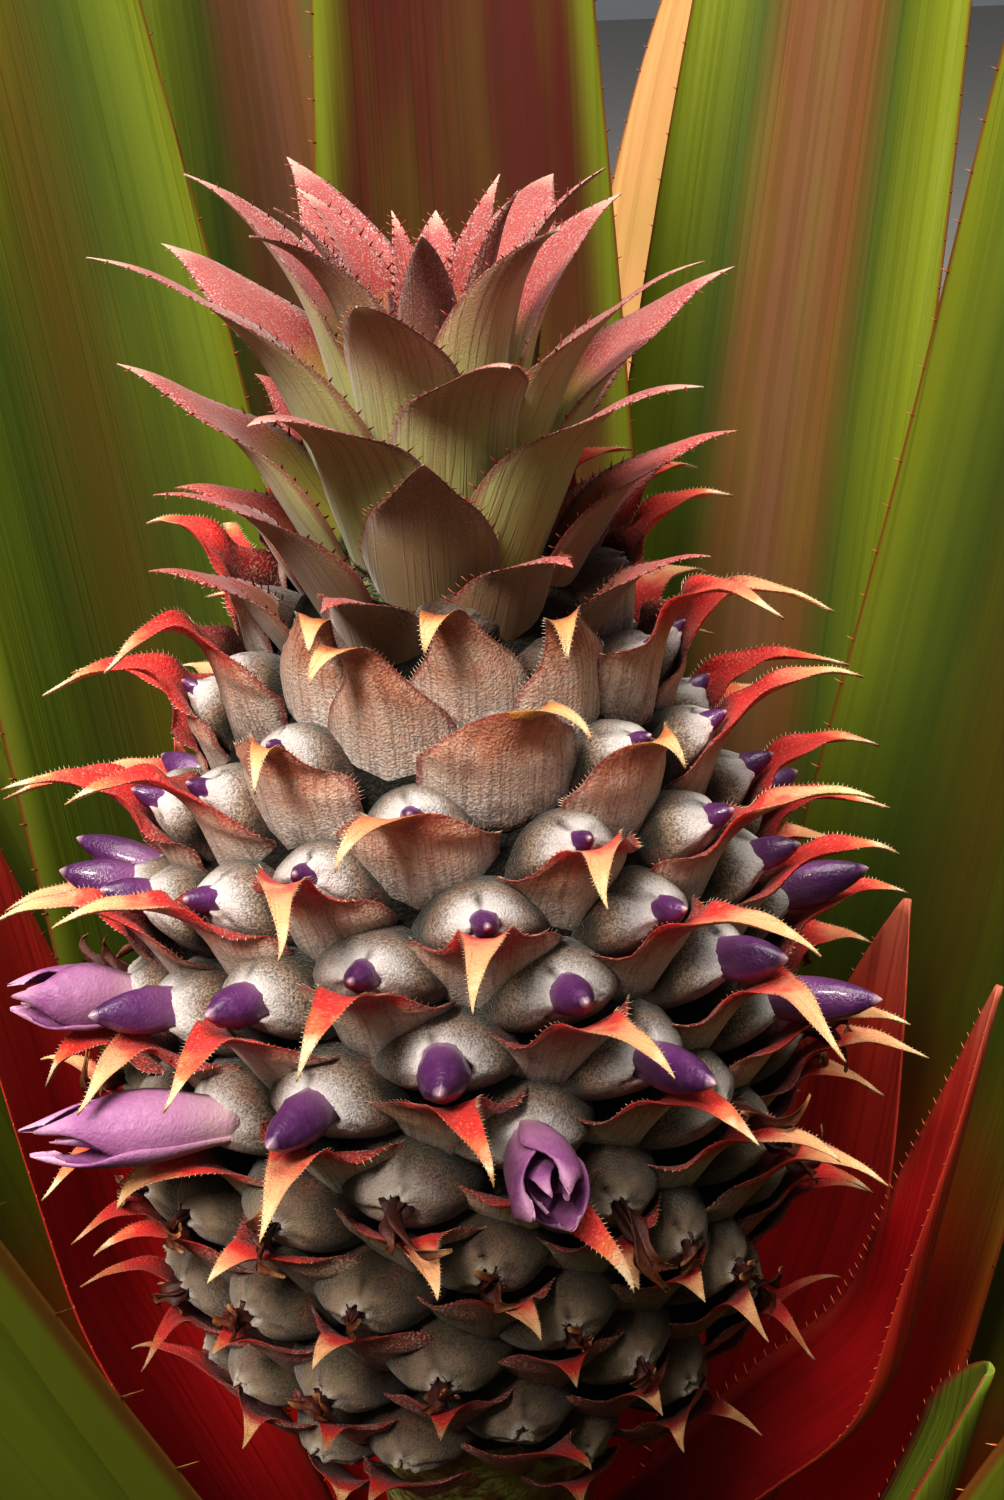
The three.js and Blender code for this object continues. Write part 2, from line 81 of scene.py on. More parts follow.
class Draw(IntEnum):
    """What a repeatable draw decides. Each trait of an organ has a draw of its own."""

    HEART_LENGTH = 2
    CLAW_LEAN = 3
    CLAW_LENGTH = 4
    THORN_SIZE = 5
    LEAF_SWAY = 9
    EYE_PHASE = 12
    EYE_BUMP = 13
    BUD_LAP = 15
    BUD_LENGTH = 16
    PETAL_PLACE = 17
    PETAL_LENGTH = 18
    DRIED_SHAPE = 19
    DRIED_WIDTH = 20
    BRACT_SWAY = 21
    BRACT_WAVE = 22
    EYE_RIPPLE = 23
    CROWN_WAVE = 24
    CROWN_SWAY = 25
    LEAF_WAVE = 26
    LEAF_FOOT = 27
    HEART_WAVE = 28
    BARK = 29
    DRIED_HEADING = 30
    TONE = 31
    CROWN_LENGTH = 33
    CROWN_LEAN = 34


def mix(a: Array | float, b: Array | float, t: Array | float) -> Array:
    """Goes straight from a to b as t goes from 0 to 1."""
    return a + (b - a) * t


def smooth(x: Array | float) -> Array:
    """Eases from 0 to 1: 3x^2 - 2x^3, held flat outside."""
    t = np.clip(x, 0, 1)
    return t * t * (3 - 2 * t)


def chance(n: Array | float, draw: Draw) -> Array:
    """A repeatable number from 0 to 1 for organ n: the fraction of a large sine."""
    x = np.sin(n * 12.9898 + draw * 78.233) * 43758.5453
    return x - np.floor(x)


def wrap(degrees: Array | float) -> Array:
    """Brings an angle to -180 to 180 degrees."""
    return (degrees + 180) % 360 - 180


def bell(x: Array, middle: Array | float, width: float) -> Array:
    """A bell of height 1: e to the minus squared distance from the middle, in widths."""
    return np.exp(-(((x - middle) / width) ** 2))


def profile(*points: tuple[float, float]) -> Curve:
    """A curve of straight steps through (x, y) pairs."""
    xs, ys = zip(*points)
    return lambda x: np.interp(x, xs, ys)


def polar(r: Array | float, azimuth: Array, z: Array | float) -> Array:
    """Points at radius r, azimuth in radians and height z: (r sin a, -r cos a, z)."""
    r, azimuth, z = np.broadcast_arrays(r, azimuth, z)
    return np.stack([r * np.sin(azimuth), -r * np.cos(azimuth), z], axis=-1)


def circle(count: int) -> Array:
    """The angles of this many even steps round."""
    return np.linspace(0, FULL_TURN, count, endpoint=False)


def each(numbers: Sequence[float] | Array) -> Array:
    """One number for each organ, shaped to spread over its rows and columns."""
    return np.asarray(numbers, float)[:, None, None]


def two_faces(count: int) -> tuple[Array, Array]:
    """Columns across the inner face and back across the outer, from -1 to 1, and 1 where they are inner."""
    across = np.linspace(-1, 1, count)
    return np.concatenate([across, across[::-1]]), np.repeat([1.0, 0.0], count)


def unit(v: Array) -> Array:
    """Brings vectors to length 1."""
    return v / np.maximum(np.linalg.norm(v, axis=-1, keepdims=True), 1e-6)


def stand(foot: Array, axes: Sequence[Array], *lengths: Array) -> Array:
    """Points that lie off a foot by a length along each of its axes."""
    return foot + sum(axis * length[..., None] for axis, length in zip(axes, lengths))


@dataclass
class Sheaf:
    """Organs of one kind: each a grid of points, closed round its columns and capped at both ends.

    Attributes:
        points: (organs, rows, columns, 3).
        values: numbers for the materials, each of a shape that spreads to (organs, rows, columns).
        grain: where each point lies on its organ's skin, (organs, rows, columns, 3).
    """

    points: Array
    values: dict[str, Array] = field(default_factory=dict)
    grain: Array | None = None

    def corners(self) -> tuple[Array, Array]:
        """Quads between neighbouring rows and columns, then one cap for each end of each organ.

        Returns:
            The corners' vertex numbers and each face's size.
        """
        organs, rows, columns, _ = self.points.shape
        number = np.arange(organs * rows * columns).reshape(organs, rows, columns)
        following = np.roll(number, -1, axis=2)
        quads = np.stack([number[:, :-1], following[:, :-1], following[:, 1:], number[:, 1:]], axis=-1)
        caps = np.stack([number[:, 0, ::-1], number[:, -1]], axis=1)
        sizes = np.repeat([4, columns], [quads.size // 4, 2 * organs])
        return np.concatenate([quads.ravel(), caps.ravel()]), sizes

    def atlas(self) -> Array:
        """The corners' places on a square picture on which each organ has its own cell.

        Returns:
            (corners, 2), in the corners' order.
        """
        organs, rows, columns, _ = self.points.shape
        u = np.arange(columns + 1) / columns
        v = np.arange(rows)[:, None, None] / (rows - 1)
        across = np.stack([u[:-1], u[1:], u[1:], u[:-1]], axis=-1)
        upwards = np.concatenate([v[:-1], v[:-1], v[1:], v[1:]], axis=-1)
        caps = np.stack([u[-2::-1], u[:-1]]), np.array([[0.0], [1.0]])
        side = math.ceil(math.sqrt(organs))
        cell = np.stack([np.arange(organs) % side, np.arange(organs) // side], axis=-1)[:, None]
        places = []
        for pair in ((across, upwards), caps):
            place = np.stack(np.broadcast_arrays(*pair), axis=-1).reshape(-1, 2)
            inside = cell + ATLAS_MARGIN + (1 - 2 * ATLAS_MARGIN) * place
            places.append(inside.reshape(-1, 2) / side)
        return np.concatenate(places)

    def volume(self) -> float:
        """The first organ's signed volume: a sixth of the triple products over its triangles.

        Returns:
            The volume, below zero where the faces point inwards.
        """
        p = self.points[0]
        q = np.roll(p, -1, axis=1)
        parts = [(p[:-1], q[:-1], q[1:]), (p[:-1], q[1:], p[1:])]
        parts += [(end[:1], end[1:-1], end[2:]) for end in (p[0][::-1], p[-1])]
        return sum(float(np.sum(a * np.cross(b, c))) for a, b, c in parts) / 6

    def mesh(self, name: str) -> bpy.types.Mesh:
        """Writes the organs as one mesh with its atlas and its attributes.

        Args:
            name: the mesh's name.

        Returns:
            The mesh, in metres, with its faces turned outwards.
        """
        if self.volume() < 0:
            self.points = self.points[:, :, ::-1]
            self.values = {key: value[..., ::-1] for key, value in self.values.items()}
            self.grain = None if self.grain is None else self.grain[:, :, ::-1]
        grid = self.points.shape[:3]
        corners, sizes = self.corners()
        mesh = bpy.data.meshes.new(name)
        mesh.vertices.add(math.prod(grid))
        mesh.vertices.foreach_set("co", (self.points * MM).astype(np.float32).ravel())
        mesh.loops.add(len(corners))
        mesh.loops.foreach_set("vertex_index", corners.astype(np.int32))
        mesh.polygons.add(len(sizes))
        mesh.polygons.foreach_set("loop_start", (np.cumsum(sizes) - sizes).astype(np.int32))
        mesh.polygons.foreach_set("use_smooth", sizes == 4)
        mesh.update(calc_edges=True)
        mesh.uv_layers.new(name="OFBake").data.foreach_set("uv", self.atlas().astype(np.float32).ravel())
        for key, value in self.values.items():
            store = mesh.attributes.new(key, "FLOAT", "POINT")
            store.data.foreach_set("value", np.broadcast_to(value, grid).astype(np.float32).ravel())
        if self.grain is not None:
            store = mesh.attributes.new("grain", "FLOAT_VECTOR", "POINT")
            store.data.foreach_set("vector", self.grain.astype(np.float32).ravel())
        return mesh


def thorns(foot: Array, along: Array, out: Array, size: Array) -> Sheaf:
    """Small three-sided thorns: a triangle of points at the foot that narrows to a tip.

    Args:
        foot: (thorns, 3), where each stands.
        along: (thorns, 3), the margin's direction.
        out: (thorns, 3), where each points.
        size: (thorns, 1), length of each.

    Returns:
        The thorns, each an organ of two rows and three columns.
    """
    wide = 0.2 * size
    back = foot - 0.35 * size * out
    up = np.cross(along, out)
    base = np.stack([back - wide * along, back + wide * along, back + 0.7 * wide * up], axis=1)
    tip = (foot + size * (out + 0.35 * along))[:, None]
    end = tip + 0.04 * (base - base.mean(axis=1, keepdims=True))
    return Sheaf(np.stack([base, end], axis=1), {"along": np.array([[0.0], [1.0]])})


@dataclass
class Blades:
    """Leaves or bracts that lie on surfaces of revolution about the plant's axis.

    Each starts at a radius and a height and leans a given number of degrees from upright along its length.
    Its place is the running sum of its direction: reach grows by sin(lean) and height by cos(lean). A point
    beside the midrib turns about the axis by its distance over the reach.

    Attributes:
        number: each organ's number on the spiral.
        azimuth: degrees.
        reach: radius of the foot.
        height: height of the foot.
        length: length along the midrib.
        lean: degrees from upright at t.
        half: half the width at t.
        thick: thickness in the middle at t.
        relief: how far the inner face stands out at t and u.
        rows: grid rows from foot to tip.
        halves: grid columns on each face.
        keel: how far the outer face's midrib stands up.
        turn: degrees of sway at t.
    """

    number: Array
    azimuth: Array
    reach: Array
    height: Array
    length: Array
    lean: Curve
    half: Curve
    thick: Curve
    relief: Callable[[Array, Array], Array]
    rows: int
    halves: int
    keel: float = 0.0
    turn: Curve = np.zeros_like

    def place(self, t: Array, u: Array, lift: Array | float = 0.0) -> Array:
        """Points at t along, u across (-1 to 1 of the half width) and out from the inner face.

        Args:
            t: (rows, 1), starting at 0 and growing.
            u: (columns,).
            lift: how far out from the inner face.

        Returns:
            (organs, rows, columns, 3).
        """
        step = np.diff(t, axis=0) * self.length
        middle = np.radians(self.lean((t[:-1] + t[1:]) / 2))
        run, rise = (
            np.pad(np.cumsum(part * step, axis=1), ((0, 0), (1, 0), (0, 0)))
            for part in (np.sin(middle), np.cos(middle))
        )
        reach = self.reach + run
        tilt = np.radians(self.lean(t))
        out = self.relief(t, u) + lift
        azimuth = np.radians(self.azimuth + self.turn(t)) + u * self.half(t) / reach
        return polar(reach + out * np.cos(tilt), azimuth, self.height + rise - out * np.sin(tilt))

    def rib(self, crowd: float) -> Array:
        """The grid's stations along the organ, closer together near the tip as crowd grows."""
        s = np.linspace(0, 1, self.rows)[:, None]
        return (1 - (1 - s) ** crowd) * 0.995

    def sheaf(self, crowd: float) -> Sheaf:
        """The blades' closed skins: across the inner face from one margin, and back across the outer.

        Args:
            crowd: how much closer the rows are near the tip.

        Returns:
            The blades with attributes along, side, inner, tone and their grain.
        """
        t = self.rib(crowd)
        u, inner = two_faces(self.halves)
        skin = self.thick(t) * (0.22 + 0.78 * (1 - u**2)) + self.keel * bell(u, 0, 0.13) * (1 - t)
        points = self.place(t, u, (1 - inner) * skin)
        grain = np.broadcast_arrays(u * self.half(t), t * self.length, 7.3 * self.number)
        values = {"along": t, "side": np.abs(u), "inner": inner, "tone": chance(self.number, Draw.TONE)}
        return Sheaf(points, values, np.stack(grain, axis=-1))

    def teeth(self, first: float, last: float, spacing: float, size: Array | float) -> Sheaf:
        """Thorns along both margins, one at each spacing, smaller towards the tip.

        Args:
            first: where they start, of the length.
            last: where they end.
            spacing: from one to the next.
            size: length of the largest.

        Returns:
            All the thorns as one sheaf.
        """
        count = max(3, int(float(np.mean(self.length)) * (last - first) / spacing))
        t = np.linspace(first, last, count)[:, None]
        grid = np.concatenate([[[0.0]], t, [[min(1.0, last + 0.01)]]])
        own = size * mix(0.65, 1.15, chance(3.1 * np.arange(count)[:, None] + self.number, Draw.THORN_SIZE))
        own = own * mix(1, 0.5, (t - first) / (last - first))
        margins = []
        for margin in (-1.0, 1.0):
            edge = self.place(grid, np.array([margin]))[:, :, 0]
            inside = self.place(grid, np.array([0.8 * margin]))[:, 1:-1, 0]
            along = unit(edge[:, 2:] - edge[:, :-2])
            out = edge[:, 1:-1] - inside
            out = unit(out - along * np.sum(out * along, axis=-1, keepdims=True))
            margins.append((edge[:, 1:-1], along, out, own))
        return thorns(*(np.concatenate(pair).reshape(-1, pair[0].shape[-1]) for pair in zip(*margins)))


def linear(colour: str) -> tuple[float, float, float, float]:
    """Turns an sRGB hex colour to linear, opaque."""
    parts = [int(colour[i : i + 2], 16) / 255 for i in (1, 3, 5)]
    return (*[p / 12.92 if p <= 0.04045 else ((p + 0.055) / 1.055) ** 2.4 for p in parts], 1.0)


@dataclass(frozen=True)
class Step:
    """A mask that goes smoothly from 0 to 1 as its source goes from low to high.

    Attributes:
        source: an output socket, or the name of one of the mesh's numbers.
        low: where the mask starts.
        high: where it is full.
    """

    source: Socket | str
    low: float
    high: float


Mask = Socket | Step | str | float


class Paint:
    """A material's nodes while it is being made."""

    def __init__(self, name: str) -> None:
        """Starts an empty material.

        Args:
            name: what the real one is.
        """
        self.material = bpy.data.materials.new(name)
        self.material.use_nodes = True
        self.tree = self.material.node_tree
        self.tree.nodes.clear()

    def add(
        self, kind: str, sockets: dict, output: str | int | None = 0, **settings: object
    ) -> Socket | None:
        """Adds a node with its settings and links.

        Args:
            kind: the node's type without its ShaderNode prefix.
            sockets: what goes into each input: a number, a vector, a hex colour, an output socket, the name
                of one of the mesh's numbers, or a Step.
            output: the output to return.
            **settings: the node's own properties; stops is a colour ramp's (place, hex colour) pairs.

        Returns:
            The output socket.
        """
        node = self.tree.nodes.new("ShaderNode" + kind)
        stops = settings.pop("stops", ())
        for key, value in settings.items():
            setattr(node, key, value)
        elements = node.color_ramp.elements if stops else ()
        while len(elements) < len(stops):
            elements.new(1.0)
        for element, (place, colour) in zip(elements, stops):
            element.position = place
            element.color = linear(colour)
        for key, value in sockets.items():
            if isinstance(value, Step):
                ends = {0: value.source, 1: value.low, 2: value.high}
                value = self.add("MapRange", ends, interpolation_type="SMOOTHSTEP")
            elif isinstance(value, str) and value[0] != "#":
                value = self.add("Attribute", {}, "Fac", attribute_name=value)
            if isinstance(value, Socket):
                self.tree.links.new(value, node.inputs[key])
            else:
                node.inputs[key].default_value = linear(value) if isinstance(value, str) else value
        return None if output is None else node.outputs[output]

    def cover(self, *masks: Mask) -> Mask:
        """How far a coat covers: its masks multiplied.

        Args:
            *masks: one or more.

        Returns:
            Their product.
        """
        product, *others = masks
        for mask in others:
            product = self.add("Math", {0: product, 1: mask}, operation="MULTIPLY")
        return product

    def layers(self, ground: Socket | str, *coats: tuple) -> Socket:
        """Lays coats over a ground, one over the other.

        Args:
            ground: the lowest colour.
            *coats: (colour, mask, mask ...), where the masks' product says how far the coat covers.

        Returns:
            The colour of them all.
        """
        for colour, *masks in coats:
            ground = self.add("Mix", {0: self.cover(*masks), 6: ground, 7: colour}, 2, data_type="RGBA")
        return ground

    def fleck(self, size: float, low: float, high: float, detail: float = 3.0) -> Step:
        """A mask of specks of a real size, where noise on the object's coordinates passes a level.

        Args:
            size: a speck's size.
            low: noise level where the mask starts.
            high: noise level where it is full.
            detail: octaves of finer specks.

        Returns:
            The mask.
        """
        here = self.add("TexCoord", {}, "Object")
        noise = self.add("TexNoise", {"Vector": here, "Scale": 1 / (size * MM), "Detail": detail})
        return Step(noise, low, high)

    def fibre(self, width: float, length: float, low: float, high: float) -> Step:
        """A mask of lines that run along the organ, drawn by noise on its skin, stretched lengthwise.

        Args:
            width: from one line to the next.
            length: how long a line runs.
            low: noise level where the mask starts.
            high: noise level where it is full.

        Returns:
            The mask.
        """
        skin = self.add("Attribute", {}, "Vector", attribute_name="grain")
        drawn = self.add("VectorMath", {0: skin, 1: (1 / width, 1 / length, 1.0)}, operation="MULTIPLY")
        return Step(self.add("TexNoise", {"Vector": drawn, "Scale": 1.0, "Detail": 2.0}), low, high)

    def finish(
        self,
        colour: Socket,
        roughness: Socket | float,
        relief: Sequence[tuple[Mask, float]],
        **plain: float,
    ) -> bpy.types.Material:
        """Closes the material with its shader.

        Args:
            colour: base colour.
            roughness: roughness.
            relief: (mask, depth) pairs, bumped one over the other.
            **plain: the shader's own sockets, named with _ for a space.

        Returns:
            The material.
        """
        sockets = {"Base Color": colour, "Roughness": roughness}
        sockets |= {key.replace("_", " "): value for key, value in plain.items()}
        bumps: dict[str, Socket] = {}
        for mask, depth in relief:
            raised = {"Height": mask, "Distance": depth * MM, "Strength": 1.0}
            bumps = {"Normal": self.add("Bump", raised | bumps)}
        shader = self.add("BsdfPrincipled", sockets | bumps)
        self.add("OutputMaterial", {0: shader}, None)
        return self.material


@dataclass(frozen=True)
class EyeSkin:
    """Scurfy fruitlet skin: grey-white scales over a tan ground, thin and dark-specked in the creases,
    which are painted dark as shade.

    Dry scales scatter the light, so the eyes look chalky, with a soft sheen and no clear highlight. Where
    the scales have worn off, the dark ground shows as specks that thicken towards the creases. The finest
    are drawn at 0.15 to 0.26 mm, as coarse as they need to be to show: a pixel is 0.15 mm on the fruit.
    """

    # The dark low end of both ramps is painted shade in the creases between the eyes.
    fresh: Stops = ((0.38, "#0f0f09"), (0.52, "#41382c"), (0.68, "#a38c7a"), (0.88, "#d2cccb"))
    old: Stops = (
        (0.42, "#0b0906"),
        (0.64, "#2a1e14"),
        (0.8, "#54402d"),
        (0.93, "#7c664e"),
        (1.0, "#8a765c"),
    )
    roughness: float = 0.85

    def material(self) -> bpy.types.Material:
        """A ramp up the mound, dark at its foot as painted shade in the creases, browned by the eye's stage
        and darkened there as painted shade low on the fruit, then blotches, specks, seams and lip.

        Returns:
            The material.
        """
        p = Paint("fruitlet_skin")
        # old: the low eyes' ramp, browner with age and also darker as painted shade at the fruit's foot.
        old = p.layers(
            p.add("ValToRGB", {0: "along"}, stops=self.old),
            ("#3f2619", p.fleck(2.2, 0.45, 0.7), 0.65),
            ("#5f5a34", p.fleck(3.4, 0.5, 0.7), 0.4),
        )
        creased = p.add("MapRange", {0: Step("along", 0.98, 0.6), 3: 0.2})
        skin = p.layers(
            p.add("ValToRGB", {0: "along"}, stops=self.fresh),
            ("#97705c", Step("top", 0.35, -0.5), p.fleck(1.8, 0.3, 0.62), 0.75),  # tan underside: its own tan, deepened as painted shade below the mound
            (old, Step("stage", 0.53, 0.42), 0.92),  # the low eyes, past flowering, and darker there as painted shade low on the fruit
            ("#4e3226", Step("stage", 0.915, 0.935), 0.85),  # the dry ones under the crown
            ("#8a4a3c", p.fleck(2.6, 0.48, 0.72), Step("along", 1.05, 0.6), 0.5),  # blush
            ("#2b261c", p.fleck(0.2, 0.48, 0.6), creased, 0.5),  # dark specks
            ("#1a1b11", p.fleck(0.26, 0.48, 0.6, 2.0), Step("along", 0.97, 0.72), 0.5),  # stipple
            ("#2e2e1c", p.fleck(0.15, 0.5, 0.62, 2.0), Step("along", 1.0, 0.75), 0.5),  # finer stipple
            ("#3d2a20", "seam", 0.9),
            ("#f2ecea", "lip", 0.3),
        )
        relief = [(p.fleck(0.6, 0.4, 0.7), 0.04), (p.fleck(0.2, 0.35, 0.65), 0.06)]
        return p.finish(skin, self.roughness, relief, Sheen_Weight=0.3, Specular_IOR_Level=0.25)


@dataclass(frozen=True)
class BractSkin:
    """Papery bract: striped pink-tan outside, bright red inside, with an orange to cream hooked tip.

    Thin dry tissue with fibres: a half-dull surface whose dark lines run to the tip, a red rim that rings
    each bract, and claws that turn pale where they have dried out. Its foot and margins, where it tucks
    under the eyes, and the bracts low on the fruit are painted darker as shade. Its down is drawn at
    0.24 mm, as coarse as it needs to be to show.
    """

    # The dark foot of the lively, dry and inside ramps is painted shade where the bract tucks under its
    # eye.
    lively: Stops = (
        (0.0, "#2b2117"),
        (0.16, "#dccfc7"),
        (0.3, "#d8b8a6"),
        (0.42, "#c4785f"),
        (0.51, "#cc1c1a"),
        (0.76, "#d92c24"),
        (0.85, "#ea7a56"),
        (0.93, "#edd8b2"),
        (1.0, "#b98348"),
    )
    dry: Stops = (
        (0.0, "#3b2c22"),
        (0.14, "#e6dbd5"),
        (0.28, "#dcb9a8"),
        (0.4, "#c27d61"),
        (0.5, "#9c4c34"),
        (0.58, "#c8863a"),
        (0.7, "#e3c07a"),
        (0.9, "#f0dcae"),
        (1.0, "#a5763c"),
    )
    inside: Stops = (
        (0.0, "#3a0c09"),
        (0.3, "#6d130f"),
        (0.46, "#a31a14"),
        (0.53, "#cc1c1a"),
        (0.76, "#dc3027"),
        (0.85, "#e57c4a"),
        (0.93, "#edd8b2"),
        (1.0, "#a8743c"),
    )
    roughness: float = 0.5

    def material(self) -> bpy.types.Material:
        """A ramp along each face, dark at its foot as painted shade, a dry one for worn bracts, then
        stripes, painted shade in dark specks, rims, scurf and specks.

        Returns:
            The material.
        """
        p = Paint("bract_skin")
        patch = p.add("MapRange", {0: p.fleck(2.2, 0.25, 0.75), 3: -0.05, 4: 0.05})
        along = p.add("Math", {0: "along", 1: patch}, operation="ADD")
        dry = p.add("ValToRGB", {0: along}, stops=self.dry)
        # low: bracts low on the fruit, browner with age and also painted darker as shade there.
        low = Step("stage", 0.42, 0.2)
        low_red = p.add("MapRange", {0: along, 1: 0.4, 2: 0.55, 3: 0.9, 4: 0.55})
        # Painted shade, drawn as dark specks: thick at the bract's foot and margins, where it tucks under
        # the eyes.
        foot_shade_specks = p.cover(Step(along, 0.4, 0.12), p.fleck(0.3, 0.36, 0.6))
        margin_shade_specks = p.cover(Step("side", 0.5, 1.0), p.fleck(0.34, 0.45, 0.62))
        painted_shade_specks = p.add("Math", {0: foot_shade_specks, 1: margin_shade_specks}, operation="MAXIMUM")
        outside = p.layers(
            p.add("ValToRGB", {0: along}, stops=self.lively),
            (dry, "worn"),
            ("#7f4c3c", p.fibre(0.3, 9.0, 0.5, 0.62), Step(along, 0.58, 0.44), 0.42),  # stripes
            # painted shade at the foot and the margins
            ("#2a2418", painted_shade_specks, Step(along, 0.5, 0.36), 0.36),
            ("#7c1f18", Step("side", 0.86, 0.99), Step(along, 0.56, 0.5), 0.85),  # rim
            ("#3c2015", Step("stage", 0.5, 0.38), Step(along, 0.5, 0.42), 0.7),  # browned low ones, also darker as painted shade low on the fruit
        )
        inside = p.layers(p.add("ValToRGB", {0: along}, stops=self.inside), (dry, "worn", 0.7))
        skin = p.layers(
            outside,
            (inside, "inner"),
            # deeper red on the low bracts: their own red, deepened as painted shade
            ("#7d1611", low, low_red),
            ("#e8c48e", Step("tone", 0.5, 0.62), Step(along, 0.6, 0.76), 0.62),  # pale claws
            ("#4d1a12", p.fibre(0.35, 5.0, 0.52, 0.68), 0.14),  # veins
            ("#f6b9a0", p.fleck(0.28, 0.55, 0.66), Step(along, 0.45, 0.6), Step("stage", 0.35, 0.55), 0.26),
            ("#2e221a", p.fleck(0.5, 0.62, 0.7), Step(along, 0.75, 0.2), 0.5),  # specks
            ("#f0dccb", p.fleck(0.24, 0.5, 0.6), Step(along, 0.6, 0.3), 0.3),  # down
            ("#8a5a30", low, Step(along, 0.72, 0.85), 0.55),  # browned low claws, also darker as painted shade low on the fruit
        )
        relief = [(p.fibre(0.34, 9.0, 0.35, 0.7), 0.04), (p.fleck(0.24, 0.35, 0.65), 0.06)]
        return p.finish(skin, self.roughness, relief, Sheen_Weight=0.1)


@dataclass(frozen=True)
class Plain:
    """A finish of one ramp along the organ with specks: hairs, thorns, petals and dried petals.

    Attributes:
        name: what the real one is.
        stops: colours from foot to tip.
        speck: the specks' colour.
        share: how far the specks cover.
        roughness: roughness.
        coat: how much wax lies over it.
    """

    name: str
    stops: Stops
    speck: str
    share: float
    roughness: float
    coat: float = 0.0

    def material(self) -> bpy.types.Material:
        """One ramp, with blotches of the speck colour and fine relief.

        Returns:
            The material.
        """
        p = Paint(self.name)
        ground = p.add("ValToRGB", {0: "along"}, stops=self.stops)
        skin = p.layers(ground, (self.speck, p.fleck(0.9, 0.45, 0.7), self.share))
        return p.finish(skin, self.roughness, [(p.fleck(0.3, 0.3, 0.7), 0.03)], Coat_Weight=self.coat)


@dataclass(frozen=True)
class CrownSkin:
    """Young crown leaf: green-grey with fine brown lines outside, red under white scurf inside.

    Its scales lie thickest along the margins and the tip, so the leaves look frosted there, with a soft
    sheen. They are drawn at 0.18 mm, as coarse as they need to be to show.
    """

    outer: Stops = (
        (0.0, "#a3ad60"),
        (0.42, "#b0b072"),
        (0.68, "#c49a78"),
        (0.88, "#a9605a"),
        (1.0, "#f4dcc4"),
    )
    inner: Stops = (
        (0.0, "#9aa03a"),
        (0.34, "#a39a40"),
        (0.52, "#9a3330"),
        (0.85, "#a03a38"),
        (1.0, "#dcb09c"),
    )
    roughness: float = 0.55

    def material(self) -> bpy.types.Material:
        """A ramp along each face, tinted by the leaf's place in the crown, with lines, margin and scurf.

        Returns:
            The material.
        """
        p = Paint("crown_leaf_skin")
        low = Step("stage", 0.345, 0.26)
        lines = p.fibre(0.36, 14.0, 0.5, 0.64)
        scurf = p.cover(p.fleck(0.18, 0.5, 0.62), Step("along", 0.1, 0.8))
        frost = p.add("MapRange", {0: "side", 1: 0.5, 2: 1.0, 3: 0.25, 4: 0.6})
        outside = p.layers(
            p.add("ValToRGB", {0: "along"}, stops=self.outer),
            ("#7c4a38", low, 0.8),
            ("#dfa552", Step("stage", 0.25, 0.2), Step("along", 0.86, 0.93)),  # the lowest leaves' tips
            ("#74242a", Step("stage", 0.66, 0.75), Step("along", 0.1, 0.4), 0.82),  # the crown's heart
            ("#8a5a48", lines, 0.35),
        )
        inside = p.layers(p.add("ValToRGB", {0: "along"}, stops=self.inner), ("#b3201c", low, 0.7))
        skin = p.layers(
            outside,
            (inside, "inner"),
            ("#7a1f1e", Step("side", 0.84, 0.97), 0.75),  # margin
            ("#e6dad2", scurf, frost),
        )
        return p.finish(skin, self.roughness, [(lines, 0.05), (scurf, 0.05)], Sheen_Weight=0.3)


@dataclass(frozen=True)
class LeafSkin:
    """Rosette leaf: waxy green, yellow-green beside a red margin, brown-red along the middle.

    Its wax is dull, so the blades take broad soft light along their gutters and no gloss. Long fine lines
    lead the eye to the tip. They are drawn 1.1 mm apart, as coarse as they need to be to show.
    """

    striped: Stops = ((0.0, "#6c4630"), (0.28, "#6c4522"), (0.5, "#465318"), (0.85, "#75801e"))
    plain: Stops = ((0.0, "#5a4a14"), (0.45, "#445218"), (0.86, "#6a781e"), (1.0, "#868c2c"))
    roughness: float = 0.58

    def material(self) -> bpy.types.Material:
        """A ramp across the blade, tinted by leaf, red at its foot, with fine lines and a red edge.

        Returns:
            The material.
        """
        p = Paint("rosette_leaf_skin")
        lines = p.fibre(1.1, 160.0, 0.45, 0.62)
        blotch = p.fibre(9.0, 60.0, 0.45, 0.7)
        skin = p.layers(
            p.add("ValToRGB", {0: "side"}, stops=self.striped),
            (p.add("ValToRGB", {0: "side"}, stops=self.plain), Step("tone", 0.35, 0.75)),
            ("#55201c", "purple", Step("side", 1.0, 0.7)),
            ("#b88a58", "cream", Step("side", 0.3, 0.5)),
            ("#2f3408", lines, 0.16),
            ("#6f7410", blotch, 0.22),
            ("#1f2606", "shade", 0.62),
            ("#a81612", "foot"),
            ("#73301a", Step("side", 0.975, 0.995), 0.75),  # edge
        )
        gloss = p.add("MapRange", {0: lines, 3: self.roughness, 4: self.roughness + 0.1})
        return p.finish(skin, gloss, [(lines, 0.05), (blotch, 0.15)], Specular_IOR_Level=0.12)


